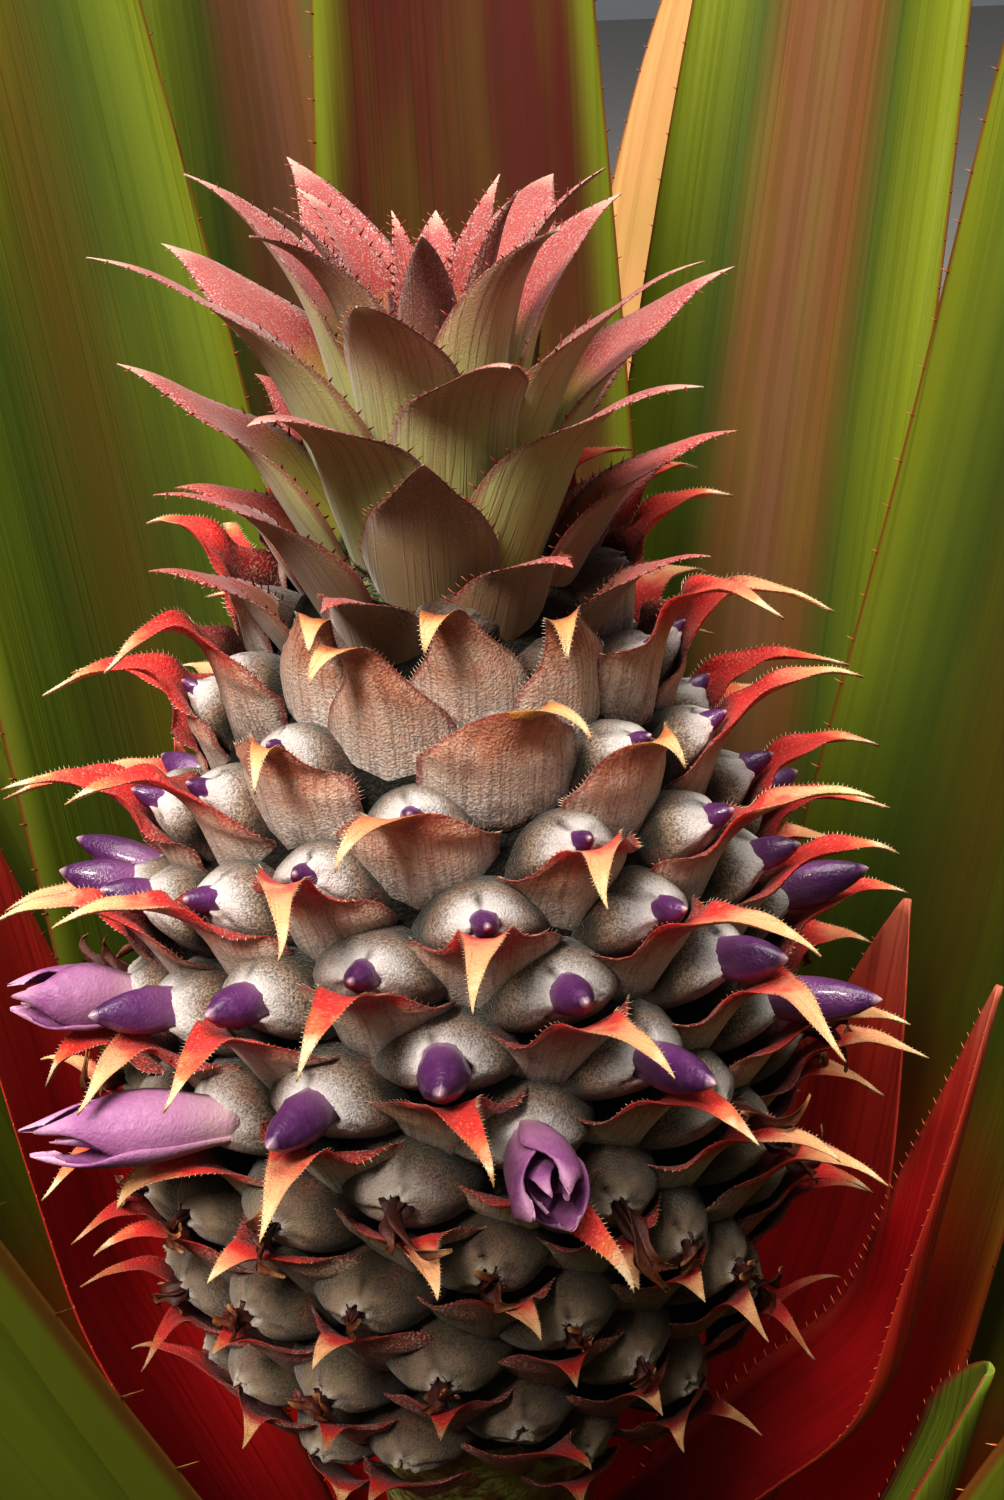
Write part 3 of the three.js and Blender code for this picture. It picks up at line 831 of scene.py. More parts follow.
@dataclass(frozen=True)
class HeartSkin:
    """Heart leaf: scarlet, paler inside its margins and at its tip, or green with a red edge.

    Smoother than the rosette's, so its scarlet takes a soft light that sets off the dull fruit.
    """

    scarlet: Stops = (
        (0.0, "#4d0a08"),
        (0.35, "#960f14"),
        (0.65, "#b4171c"),
        (0.88, "#b93a2c"),
        (1.0, "#c0705a"),
    )
    leafy: Stops = (
        (0.0, "#94862f"),
        (0.5, "#788a2a"),
        (0.9, "#728428"),
        (0.95, "#9a5a30"),
        (1.0, "#7a2a1c"),
    )
    roughness: float = 0.5

    def material(self) -> bpy.types.Material:
        """A ramp along the red leaf and one across the green, both with lengthwise lines.

        Returns:
            The material.
        """
        p = Paint("heart_leaf_skin")
        lines = p.fibre(0.9, 60.0, 0.45, 0.65)
        leafy = p.layers(p.add("ValToRGB", {0: "side"}, stops=self.leafy), ("#454f14", lines, 0.35))
        skin = p.layers(
            p.add("ValToRGB", {0: "along"}, stops=self.scarlet),
            ("#7d0f0c", lines, 0.4),
            ("#c24a34", Step("side", 0.8, 0.98), 0.4),  # pale inside the margins
            (leafy, "green", Step("along", 0.3, 0.5)),
        )
        return p.finish(skin, self.roughness, [(lines, 0.06)])


@dataclass(frozen=True)
class Bark:
    """A dull skin of two tones: the stem, the stalk, the crown's core, the studio's paper, and the
    near-black core under the eyes, which is painted shade.

    Corky or fibrous, it swallows highlights, so these parts stay behind the leaves and the eyes.

    Attributes:
        name: what the real one is.
        light: the ground colour.
        dark: the blotches' colour.
        size: a blotch's size.
        roughness: roughness.
    """

    name: str
    light: str
    dark: str
    size: float
    roughness: float = 0.85

    def material(self) -> bpy.types.Material:
        """Blotches of the dark tone over the light one.

        Returns:
            The material.
        """
        p = Paint(self.name)
        fine = p.fleck(0.25 * self.size, 0.35, 0.7)
        skin = p.layers(self.light, (self.dark, p.fleck(self.size, 0.4, 0.68)), (self.dark, fine, 0.4))
        return p.finish(skin, self.roughness, [(fine, 0.25)])


class Slot(Enum):
    """The record's material slots."""

    STEM = "stem"
    STALK = "stalk"
    FRUIT = "fruit"
    CROWN = "crown"
    LEAF = "leaf"
    HEART_LEAF = "heart_leaf"


Finish = EyeSkin | BractSkin | Plain | CrownSkin | LeafSkin | HeartSkin | Bark


def show(name: str, sheaf: Sheaf, finish: Finish, slot: Slot, *nodes: str) -> None:
    """Puts a sheaf in the scene as a piece of the plant, at the origin.

    Args:
        name: the piece's name.
        sheaf: its organs.
        finish: its finish.
        slot: the record's slot for this piece; not used.
        *nodes: the CAD nodes it stands for.
    """
    piece = bpy.data.objects.new(name, sheaf.mesh(name))
    piece.data.materials.append(finish.material())
    bpy.context.scene.collection.objects.link(piece)
    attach(piece, "root")
    if nodes:
        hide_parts(*nodes)
    triangles = sum(len(p.vertices) - 2 for p in piece.data.polygons)
    LOG.info("%s: %d organs, %d triangles", name, len(sheaf.points), triangles)


def lathe(radius: Array, height: Array, sides: int, relief: Array | float = 0.0) -> Sheaf:
    """A solid of revolution about the plant's axis.

    Args:
        radius: (rings,), from the lowest ring to the highest; both ends are closed flat.
        height: (rings,).
        sides: columns round the axis.
        relief: what is added to the radius, of a shape that spreads to (rings, sides).

    Returns:
        One organ.
    """
    return Sheaf(polar(radius[:, None] + relief, circle(sides), height[:, None])[None])


@dataclass
class Stem:
    """The short stem, flared at the ground, ringed by the scars of fallen leaves."""

    height: float = 150.0
    outline: Curve = field(default=profile((0, 31), (18, 24), (70, 27), (115, 23), (150, 14)))
    scar_rise: float = 7.5
    scar_depth: float = 0.5
    roughness: float = 0.25

    @staticmethod
    def foot_radius(stem: Array, half: Array) -> Array:
        """Where a leaf's foot of this half width just clears a stem of this radius."""
        return (stem + 0.35) / np.cos(half / (4 * stem))

    def build(self) -> None:
        """Turns the stem with a shallow ring for each scar, and dresses it."""
        z, turn = np.linspace(0, self.height, 90), circle(72)
        scars = np.abs(np.sin(np.pi * (z[:, None] / self.scar_rise + 0.3 * np.sin(turn)))) ** 8
        rough = chance(np.floor(turn * 12) + 31 * np.floor(z)[:, None], Draw.BARK)
        relief = -self.scar_depth * scars - self.roughness * rough
        body = lathe(self.outline(z) - 0.05, z, len(turn), relief)
        bark = Bark("stem_bark", "#8a7350", "#4a3824", 5.0)  # corky and matt, broken up by scars
        show("stem_bark", body, bark, Slot.STEM, "stem")


@dataclass
class Fruit:
    """The young fruit: eyes on a spiral, each in a bract and with its flower at some stage.

    The reach is read at a height from the middle, and the other curves at an eye's number on the spiral.
    """

    middle: float = 350.0
    rise: float = 0.61
    turn: float = -94.0
    first: int = -68
    last: int = 75
    foot: float = -49.0
    top: float = 44.0
    reach: Curve = field(
        default=profile(
            (-49, 20), (-44, 28), (-34, 32.8), (-20, 34.8), (-6, 35.1), (6, 34.2), (16, 32), (26, 28.4),
            (36, 22.8), (44, 17.5),
        )
    )
    tilt_limits: tuple[float, float] = (-12, 52)
    eye_lift: float = 8.0
    flower_lift: float = 6.0

    eye_depth: float = 6.4
    eye_sunk: float = 1.4
    eye_half: float = 6.9
    eye_top: float = 6.0
    tip_rise: float = 0.9
    tip_sunk: float = 0.8
    lap_step: float = 0.6
    lip_rise: float = 0.35
    mouth_depth: float = 2.2
    mouth_closed: float = 0.1
    belly: Curve = field(default=profile((-40, 4.4), (-5, 4.2), (15, 3.2)))
    hang: Curve = field(default=profile((27, 0), (40, 1.6), (50, 1.8), (60, 0.6)))

    body: float = 11.5
    root_half: float = 6.0
    shoulder_half: float = 7.6
    scale_half: float = 5.4
    claw_half: float = 3.0
    worn_claw_half: float = 1.7
    flank_claw: float = 5.5
    root_cup: float = 2.6
    worn_root_cup: float = 0.9
    shoulder_cup: float = 1.6
    shoulder_roll: float = 1.5
    rim_wave: float = 0.75
    claw_lean_spread: float = 18.0
    claw_sway: float = 11.0
    opened_lean: float = 30.0
    opened_drop: float = 1.4
    weathered: int = 50
    worn_side: float = 66.0
    worn_lean: float = 158.0
    ledge: Curve = field(
        default=profile(
            (-68, 2.6), (-5, 2.8), (14, 2.8), (27, 2.1), (32, 1.6), (40, 2.2), (48, 2.0), (52, 1), (58, 0),
            (66, -4), (75, -1),
        )
    )
    proud: Curve = field(default=profile((-68, -0.4), (-20, -0.2), (0, 0.5), (20, 1.2)))
    bract_root: Curve = field(default=profile((-68, 42), (-20, 33), (20, 30), (45, 22), (60, 14), (75, 4)))
    bract_tip: Curve = field(default=profile((-68, 112), (20, 118), (45, 112), (75, 104)))
    claw: Curve = field(
        default=profile((-68, 2.6), (-30, 4), (-14, 5), (2, 9), (10, 11), (45, 13), (60, 12), (75, 9))
    )

    open_flowers: tuple[int, ...] = (3, 6, 8)
    flares: tuple[float, ...] = (0.15, 0.8, 0.05)
    petal_lengths: tuple[float, ...] = (18, 12.5, 13)
    flower_turns: tuple[float, ...] = (-34, 0, -6)
    first_dried: int = -46
    first_bud: int = 7
    last_bud: int = 64
    bud_length: Curve = field(
        default=profile((7, 10), (16, 8.5), (24, 6.2), (27, 5), (36, 3.6), (48, 2.6), (64, 2))
    )
    bud_width: Curve = field(
        default=profile(
            (7, 2.2), (14, 2.05), (19, 2.2), (27, 1.8), (32, 1.4), (40, 1.3), (48, 1.15), (64, 0.85)
        )
    )
    bud_sunk: float = 2.6
    dried_sunk: float = 0.6

    def numbers(self) -> Array:
        """Every eye's number, from the lowest to the highest."""
        return each(range(self.first, self.last + 1))

    def flowers(self, first: int, end: int, parts: int = 1) -> Array:
        """Numbers from first to before end of eyes without an open flower, each once for each part."""
        return each(np.repeat([n for n in range(first, end) if n not in self.open_flowers], parts))

    def stage(self, k: Array) -> Array:
        """Where an eye stands, from 0 at the foot to 1 under the crown."""
        return (k - self.first) / (self.last - self.first)

    def azimuth(self, k: Array) -> Array:
        """An eye's azimuth in degrees. The spiral runs a little ahead of itself under the crown."""
        return self.turn + GOLDEN * k + 8 * smooth((k - 60) / 12)

    def worn(self, k: Array) -> Array:
        """How far an eye's bract is folded dry against the fruit: the front ones under the crown are."""
        front = smooth((self.worn_side - np.abs(wrap(self.azimuth(k)))) / 14)
        return front * smooth((k - self.weathered) / 5)

    def axes(self, k: Array, lift: float, turn: Array | float = 0.0) -> tuple[Array, Array, Array]:
        """An eye's outward, sideways and upward directions.

        Args:
            k: the eyes' numbers.
            lift: degrees it faces above the fruit's own slope.
            turn: degrees it faces to the side.

        Returns:
            Three arrays of (eyes, 1, 1, 3).
        """
        z = self.rise * k
        slope = (self.reach(z + 2) - self.reach(z - 2)) / 4
        tilt = np.radians(np.clip(np.degrees(np.arctan(-slope)) + lift, *self.tilt_limits))
        facing = np.radians(self.azimuth(k) + turn)
        out = polar(np.cos(tilt), facing, np.sin(tilt))
        side = polar(1.0, facing + np.pi / 2, 0.0)
        return out, side, np.cross(out, side)

    def mounds(self, k: Array) -> tuple[Array, Array, Array, Array]:
        """Where an eye stands and how large it is: its base lies straight in from its tip.

        Args:
            k: the eyes' numbers.

        Returns:
            Its size and its height, (eyes, 1, 1), its tip and the middle of its base, (eyes, 1, 1, 3).
        """
        z = self.rise * k
        size = (self.reach(z) / 34) ** 0.75
        tall = (self.eye_depth + self.eye_sunk) * size**0.5
        out, _, up = self.axes(k, self.eye_lift)
        facing = np.radians(self.azimuth(k))
        tip = polar(self.reach(z) - self.tip_sunk, facing, self.middle + z - self.hang(k))
        base = tip - out * tall[..., None] - up * (self.tip_rise * size)[..., None]
        return size, tall, tip, base

    def eyes(self) -> Sheaf:
        """Mounds on polar grids: height falls off from the middle, with three lapped sepals and a mouth.

        The height is H (1 - rho^2.3)^0.66. A saw-tooth of the angle laps the sepals, and the mouth is a dip
        as wide as the flower that comes out of it, with a raised lip.

        Returns:
            One organ for each eye.
        """
        k = self.numbers()
        size, tall, _, base = self.mounds(k)
        tall = tall * mix(1, 0.5, smooth((k - 62) / 4) * self.worn(k))
        rho = np.append(np.linspace(1.0, 0.1, 16), 0.03)[:, None]
        theta = circle(30)
        phase = FULL_TURN * (0.25 + 0.1 * chance(k, Draw.EYE_PHASE))
        lap = (3 * (theta - phase) / FULL_TURN + 0.18 * (1 - rho)) % 1
        flowering = (k >= self.first_bud - 1) & (k <= self.last_bud)
        wide = np.where(flowering, self.bud_width(k) / self.eye_half + 0.01, self.mouth_closed)
        mouth = wide * (1 + 0.12 * np.cos(3 * (theta - phase)))
        lip = bell(rho, mouth + 0.05, 0.06)
        rounded = (1 - rho**2.3) ** 0.66
        dome = tall * rounded + self.lap_step * (lap - 0.5) * smooth((0.95 - rho) / 0.5)
        dome = dome - self.mouth_depth * smooth((mouth - rho) / 0.09) + self.lip_rise * lip
        dome = dome + 0.3 * np.sin(2 * theta + 9 * chance(k, Draw.EYE_BUMP)) * rho
        dome = dome + 0.12 * np.sin(5 * theta + 7 * rho + 5 * chance(k, Draw.EYE_RIPPLE))
        across = self.eye_half * size * rho * np.cos(theta) * (1 + 0.03 * np.cos(6 * theta))
        upward = np.where(np.sin(theta) > 0, self.eye_top, self.belly(k)) * size * rho * np.sin(theta)
        upward = upward + self.tip_rise * size * (1 - rho) ** 1.2
        values = {
            "along": rounded,
            "top": np.sin(theta) * smooth(rho / 0.5),
            "stage": self.stage(k),
            "lip": lip,
            "seam": (bell(lap, 0.0, 0.06) + bell(lap, 1.0, 0.04)) * smooth((0.9 - rho) / 0.4),
        }
        return Sheaf(stand(base, self.axes(k, self.eye_lift), dome, across, upward), values)

    def core(self) -> Sheaf:
        """The body under the eyes: their reach less their depth, turned about the axis."""
        z = np.linspace(self.foot, self.top, 56)
        return lathe(self.reach(z) - self.eye_depth - 0.2, self.middle + z, 72)

    def bracts(self) -> tuple[Blades, Sheaf]:
        """One bract under each eye: a body that hugs the eye up to its shoulders, then a claw.

        The lean goes smoothly from root to tip, starting halfway up the body. The body widens to its
        shoulders, which roll outwards, and the claw narrows evenly to a point. The whole is set so that the
        claw starts on the ledge just under the flower. Worn ones have their short claw folded down, and the
        last of them are scales that narrow from halfway up.

        Returns:
            The blades, and their skins with along as 0 to 0.5 on the body and 0.5 to 1 on the claw.
        """
        k = self.numbers()
        worn = self.worn(k)
        scale = smooth((k - 61) / 3) * worn
        size = mix(0.74, 1, smooth((k - self.first) / 70))
        body = self.body * size * mix(1, 1.5, scale)
        flank = smooth((np.abs(wrap(self.azimuth(k))) - 38) / 20) * smooth((4 - k) / 10)
        claw = self.claw(k) * mix(1, 0.48, worn) + self.flank_claw * flank
        claw = claw * mix(0.85, 1.15, chance(k, Draw.CLAW_LENGTH))
        length = body + claw
        opened = np.isin(k, self.open_flowers)
        first = self.bract_root(k)
        last = mix(self.bract_tip(k), self.worn_lean, worn) + self.opened_lean * opened
        last = last + self.claw_lean_spread * (chance(k, Draw.CLAW_LEAN) - 0.5)
        late = np.maximum(worn, smooth((8 - k) / 30))
        bend = body * mix(0.5, 0.8, late) / length
        sway = np.degrees(self.claw_sway * (chance(k, Draw.BRACT_SWAY) - 0.5) / self.reach(self.rise * k))

        def lean(t: Array) -> Array:
            """Degrees from upright."""
            return mix(first, last, smooth((t - bend) / (1.02 - bend)))

        def half(t: Array) -> Array:
            """Widens to the shoulders, drops to the claw's foot and narrows evenly to the tip.

            Args:
                t: how far along.

            Returns:
                Half the width.
            """
            way = t * length
            root = mix(self.root_half, self.shoulder_half, worn)
            broad = mix(root, mix(self.shoulder_half, self.scale_half, scale), smooth(way / (0.75 * body)))
            broad = mix(broad, broad * (1 - 0.72 * smooth((way - 0.45 * body) / (0.6 * body))), scale)
            left = np.maximum(1 - np.maximum(way - body, 0) / claw, 0) ** 1.2
            grown = mix(0.7, 1, smooth((k + 30) / 35))
            point = mix(self.claw_half, self.worn_claw_half, worn) * grown * left
            return size * mix(broad, point, smooth((way - 0.56 * body) / (0.56 * body))) + 0.03

        def relief(t: Array, u: Array) -> Array:
            """Minus a cup times u squared on the body, plus the rolled shoulders and a wave in the rims.

            Args:
                t: how far along.
                u: how far across.

            Returns:
                How far the inner face stands out.
            """
            way = t * length / body
            keep = half(t) / 6.5
            cup = mix(mix(self.root_cup, self.worn_root_cup, worn), self.shoulder_cup, smooth(way))
            roll = smooth((np.abs(u) - 0.5) / 0.5) * bell(way, 0.92, 0.16) * (1 - 0.7 * late)
            wave = np.sin(13 * way + 2.5 * u + 6.3 * chance(k, Draw.BRACT_WAVE)) * smooth((way - 0.4) / 0.4)
            rims = self.shoulder_roll * roll + self.rim_wave * wave * np.abs(u)
            return size * keep * (rims - cup * u**2)

        steps = 48
        stations = np.linspace(0, 1, steps + 1)[:, None]
        middle = np.radians(lean((stations[1:] + stations[:-1]) / 2))
        below = np.clip((body / length - stations[:-1]) * steps, 0, 1) / steps
        run, climb = (
            length * np.sum(part * below, axis=1, keepdims=True)
            for part in (np.sin(middle), np.cos(middle))
        )
        z = self.rise * k
        blades = Blades(
            number=k,
            azimuth=self.azimuth(k),
            reach=self.reach(z) + self.proud(k) - run,
            height=self.middle + z - self.ledge(k) - self.opened_drop * opened - climb,
            length=length,
            lean=lean,
            half=half,
            thick=lambda t: mix(0.8, 0.22, t),
            relief=relief,
            rows=32,
            halves=11,
            keel=0.35,
            turn=lambda t: sway * smooth((t - 0.45) / 0.55),
        )
        sheaf = blades.sheaf(1.0)
        way = blades.rib(1.0) * length
        sheaf.values["along"] = np.where(way < body, 0.5 * way / body, 0.5 + 0.5 * (way - body) / claw)
        sheaf.values["stage"] = self.stage(k)
        sheaf.values["worn"] = worn
        return blades, sheaf

    def flower_axis(
        self, k: Array, sunk: float, turn: Array | float = 0.0
    ) -> tuple[Array, tuple[Array, Array, Array]]:
        """A flower's foot in its eye's mouth, and its outward, sideways and upward directions.

        Args:
            k: the eyes' numbers.
            sunk: how deep the foot lies in the mouth.
            turn: degrees it faces to the side.

        Returns:
            The foot, and the three axes.
        """
        axes = self.axes(k, self.flower_lift, turn)
        return self.mounds(k)[2] - sunk * axes[0], axes

    def buds(self) -> Sheaf:
        """Closed buds: three lapped petals round a spindle that ends in a point.

        Returns:
            One organ for each bud.
        """
        k = self.flowers(self.first_bud, self.last_bud + 1)
        t = np.append(np.linspace(0, 0.9, 12), [0.95, 0.98, 0.998])[:, None]
        theta = circle(18)
        pointed = (1 - (np.maximum(t - 0.4, 0) / 0.6) ** 1.9) ** 0.8
        spindle = np.where(t < 0.4, 0.78 + 0.22 * smooth(t / 0.4), pointed)
        lap = (3 * theta / FULL_TURN + 0.55 * t + chance(k, Draw.BUD_LAP)) % 1
        reach = (self.bud_length(k) * mix(0.9, 1.1, chance(k, Draw.BUD_LENGTH)) + 2) * t
        radius = self.bud_width(k) * spindle * (1 + 0.13 * (lap - 0.5)) * mix(1.25, 1, smooth(reach / 2.8))
        axis = self.flower_axis(k, self.bud_sunk)
        return Sheaf(stand(*axis, reach, radius * np.cos(theta), radius * np.sin(theta)), {"along": t})

    def petals(self) -> Sheaf:
        """Open flowers: three petals round the axis, flared at the mouth, and three lesser ones within.

        Returns:
            One organ for each petal.
        """
        k, flare, length, turn = (
            each(np.repeat(row, 6))
            for row in (self.open_flowers, self.flares, self.petal_lengths, self.flower_turns)
        )
        petal = each(np.tile(np.arange(6), len(self.open_flowers)))
        within = petal >= 3
        t = np.linspace(0, 1, 16)[:, None]
        u, inner = two_faces(9)
        flare = flare * np.select([petal % 3 == 0, petal % 3 == 1], [0.6, 1.3], 0.9)
        place = FULL_TURN * petal / 3 + 0.6 * chance(k, Draw.PETAL_PLACE) + 1.05 * within
        wide = np.radians(78) * (1 - 0.75 * smooth((t - 0.45) / 0.55) ** 1.3) + 0.02
        angle = place + wide * u + 0.5 * t
        radius = 1.7 + 1.3 * smooth(t / 0.5) + flare * smooth((t - 0.45) / 0.55) - 1.9 * t**5
        radius = radius * mix(1, 0.5, within) + 0.22 * u + 0.22 * (1 - inner) + 0.25 * u**2 * t
        length = length * mix(1, 0.9, within) * mix(0.94, 1.06, chance(k + 0.3 * petal, Draw.PETAL_LENGTH))
        reach = length * t * (1 - 0.12 * u**2 * t)
        droop = radius * np.sin(angle) - 0.06 * reach
        axis = self.flower_axis(k, self.bud_sunk, turn)
        return Sheaf(stand(*axis, reach, radius * np.cos(angle), droop), {"along": t})

    def dried(self) -> Sheaf:
        """Spent flowers: three narrow strips each, twisted about their own axis and curled off to a side.

        Returns:
            One organ for each strip.
        """
        k = self.flowers(self.first_dried, min(self.open_flowers), 3)
        strip = each(np.tile(np.arange(3), len(k) // 3))
        t = np.linspace(0, 1, 14)[:, None]
        u, inner = two_faces(5)
        luck = chance(k + 0.37 * strip, Draw.DRIED_SHAPE)
        other = chance(k + 0.61 * strip, Draw.DRIED_WIDTH)
        length = mix(2.8, 5.2, luck) * mix(1, 1.9, smooth((k + 12) / 5))
        half = mix(0.7, 1.3, other) * (1 - 0.75 * t**1.5) * (1 + 0.3 * np.sin(13 * t + 6 * luck))
        twist = mix(-2.6, 2.6, luck) * t + 6.28 * other
        thick = 0.28 * (1 - inner) * (1 - 0.6 * u**2)
        heading = FULL_TURN * chance(k + 0.2 * strip, Draw.DRIED_HEADING) + 0.9 * t
        drift = mix(0.35, 0.75, other) * length * t ** mix(1.0, 2.0, luck)
        wave = 0.5 * np.sin(9 * t + 6.28 * luck) * t
        sideways = half * u * np.cos(twist) - thick * np.sin(twist) + wave + drift * np.cos(heading)
        upward = half * u * np.sin(twist) + thick * np.cos(twist) + drift * np.sin(heading)
        reach = 0.7 * length * np.sin(1.9 * t) + 0.5 * half * u**2
        return Sheaf(stand(*self.flower_axis(k, self.dried_sunk), reach, sideways, upward), {"along": t})

    def build(self) -> None:
        """Makes and dresses every piece of the fruit."""
        # Dry hairs scatter the light, and are pale where it comes through their tips.
        hair = Plain(
            name="bract_hair",
            stops=((0.0, "#d98a5a"), (0.5, "#efd9b8"), (1.0, "#f6ead2")),
            speck="#c7512f",
            share=0.2,
            roughness=0.6,
        )
        # Moist petals folded tight, under a thin wax: deep violet with small highlights.
        bud = Plain(
            name="bud_petal",
            stops=(
                (0.0, "#c9a9c0"),
                (0.22, "#8f5f8e"),
                (0.6, "#5e3166"),
                (0.92, "#4a2452"),
                (1.0, "#c9a8b4"),
            ),
            speck="#7e4a80",
            share=0.35,
            roughness=0.3,
            coat=0.25,
        )
        # Thin open petals: light comes through them, so they are paler and softer than the buds.
        lilac = Plain(
            name="open_petal",
            stops=((0.0, "#cbaab0"), (0.3, "#a87798"), (0.8, "#8d5086"), (1.0, "#c896b4")),
            speck="#b67fae",
            share=0.4,
            roughness=0.55,
        )
        # Shrivelled petals: dark brown and dull, with dry tips that catch the light.
        spent = Plain(
            name="dried_petal",
            stops=((0.0, "#2c0d08"), (0.5, "#4e1c10"), (0.85, "#6e3a20"), (1.0, "#b08050")),
            speck="#1c0a06",
            share=0.6,
            roughness=0.6,
        )
        # Near-black painted shade on the core deep between the eyes, so the valleys read as depth.
        valley = Bark("fruit_valley_shade", "#1e1b10", "#0c0b06", 1.6)
        show("fruit_core", self.core(), valley, Slot.FRUIT)
        show("fruit_eyes", self.eyes(), EyeSkin(), Slot.FRUIT, "fruit")
        blades, sheaf = self.bracts()
        show("fruit_bracts", sheaf, BractSkin(), Slot.FRUIT)
        fine = mix(0.2, 0.5, smooth((blades.number + 35) / 45))
        show("bract_hairs", blades.teeth(0.34, 0.97, 0.33, fine), hair, Slot.FRUIT)
        show("flower_buds", self.buds(), bud, Slot.FRUIT)
        show("open_flowers", self.petals(), lilac, Slot.FRUIT)
        show("dried_flowers", self.dried(), spent, Slot.FRUIT)


@dataclass
class Stalk:
    """The stalk that carries the fruit."""

    stem: Stem
    fruit: Fruit
    waist: float = 12.5
    clear: float = 0.35
    ribs: int = 12
    rib_depth: float = 0.2

    @property
    def ends(self) -> tuple[float, float]:
        """Heights of its foot and its top."""
        return self.stem.height + self.clear, self.fruit.middle + self.fruit.foot - self.clear

    def radius(self, z: Array) -> Array:
        """The stalk's radius at a height: wider at both ends."""
        foot, top = self.ends
        return np.interp(z, [foot, foot + 30, top - 25, top], self.waist + np.array([1, 0, -0.5, 1]))

    def build(self) -> None:
        """Turns the stalk with shallow ribs, and dresses it."""
        z, turn = np.linspace(*self.ends, 60), circle(60)
        ribs = -self.rib_depth * (1 + np.cos(self.ribs * turn + 0.02 * z[:, None])) / 2
        body = lathe(self.radius(z), z, len(turn), ribs)
        skin = Bark("stalk_skin", "#98a05c", "#6f4a32", 4.0, 0.6)  # smooth green skin, half dull
        show("stalk_skin", body, skin, Slot.STALK, "fruit_stalk")


@dataclass
class Rosette:
    """The sword leaves, oldest first. All bend by one rule along their length, the older the more."""

    stem: Stem
    count: int = 33
    ages: int = 30
    foot: float = 20.0
    rise: float = 3.85
    turn: float = 96.0
    half_width: float = 27.0
    cup: float = 5.0
    sway: float = 22.0
    lean_foot: float = 17.0
    lean_young: float = 12.0
    lean_old: float = 122.0
    bend_length: float = 700.0
    inner_shorter: float = 25.0
    inner_upright: float = 2.4
    lean_opened: float = 84.0
    opening: float = 0.5
    opening_side: float = 14.0
    opening_spread: float = 17.0
    purple: tuple[int, ...] = (33,)
    cream: tuple[int, ...] = (12,)
    length: Curve = field(default=profile((0, 560), (0.3, 690), (0.55, 760), (1, 440)))

    def blades(self) -> Blades:
        """The leaves' shapes: lean grows with the distance along to the power 1.15.

        Returns:
            The leaves.
        """
        j = each(range(self.count))
        age = np.maximum(0, 1 - j / (self.ages - 1))
        inner = np.maximum(0, j - self.ages + 1)
        azimuth = wrap(self.turn + GOLDEN * j)
        z = self.foot + self.rise * j
        length = self.length(age) - self.inner_shorter * inner
        hang = mix(self.lean_young, self.lean_old, age**0.9) - self.inner_upright * inner
        opened = self.opening * bell(wrap(azimuth - self.opening_side), 0, self.opening_spread)
        sway = self.sway * (chance(j, Draw.LEAF_SWAY) - 0.5)

        def lean(t: Array) -> Array:
            """Degrees from upright, with the open side leaning out further.

            Args:
                t: how far along.

            Returns:
                Degrees.
            """
            along = t * length
            own = mix(self.lean_foot, hang, (along / self.bend_length) ** 1.15)
            return mix(own, np.maximum(own, self.lean_opened), opened * smooth((along - 60) / 190))

        def half(t: Array) -> Array:
            """Half the width: almost even, then drawn out to the tip."""
            grown = mix(0.9, 1, smooth(t / 0.2)) * np.maximum(1 - t**2.2, 0) ** 0.9
            return self.half_width * grown + 0.3

        def relief(t: Array, u: Array) -> Array:
            """A gutter: minus cup times u squared, with a slow wave in the margins.

            Args:
                t: how far along.
                u: how far across.

            Returns:
                How far the inner face stands out.
            """
            along = t * length
            cup = self.cup * smooth((along - 30) / 170) * (1 - 0.55 * t)
            wave = 0.8 * np.sin(along / 19 + 6.3 * chance(j, Draw.LEAF_WAVE) + 1.5 * u)
            return (wave * smooth((along - 120) / 200) - cup) * u**2

        return Blades(
            number=j,
            azimuth=azimuth,
            reach=self.stem.foot_radius(self.stem.outline(z), half(np.zeros(1))),
            height=z,
            length=length,
            lean=lean,
            half=half,
            thick=lambda t: mix(2.2, 0.9, smooth(t / 0.9)),
            relief=relief,
            rows=64,
            halves=13,
            turn=lambda t: sway * t**2,
        )

    def build(self) -> None:
        """Makes and dresses the leaves and their margins' thorns."""
        blades = self.blades()
        sheaf = blades.sheaf(1.1)
        along = sheaf.grain[..., 1]
        bare = mix(90, 150, chance(blades.number, Draw.LEAF_FOOT))
        young = smooth((blades.number - 12) / 12)
        sheaf.values["foot"] = smooth((bare + 45 * young - along) / 60) * mix(0.7, 1, young)
        sheaf.values["shade"] = smooth((360 - along) / 200)
        sheaf.values["purple"] = np.isin(blades.number + 1, self.purple)
        sheaf.values["cream"] = np.isin(blades.number + 1, self.cream)
        nodes = [f"leaf_{n + 1:02d}" for n in range(self.count)]
        show("rosette_leaves", sheaf, LeafSkin(), Slot.LEAF, *nodes)
        # Horny thorns: red-brown, with a pale tip that catches the light.
        thorn = Plain("leaf_thorn", ((0.0, "#8a3a20"), (1.0, "#c98a4a")), "#5c2014", 0.3, 0.5)
        show("leaf_thorns", blades.teeth(0.12, 0.93, 6.5, 1.1), thorn, Slot.LEAF)


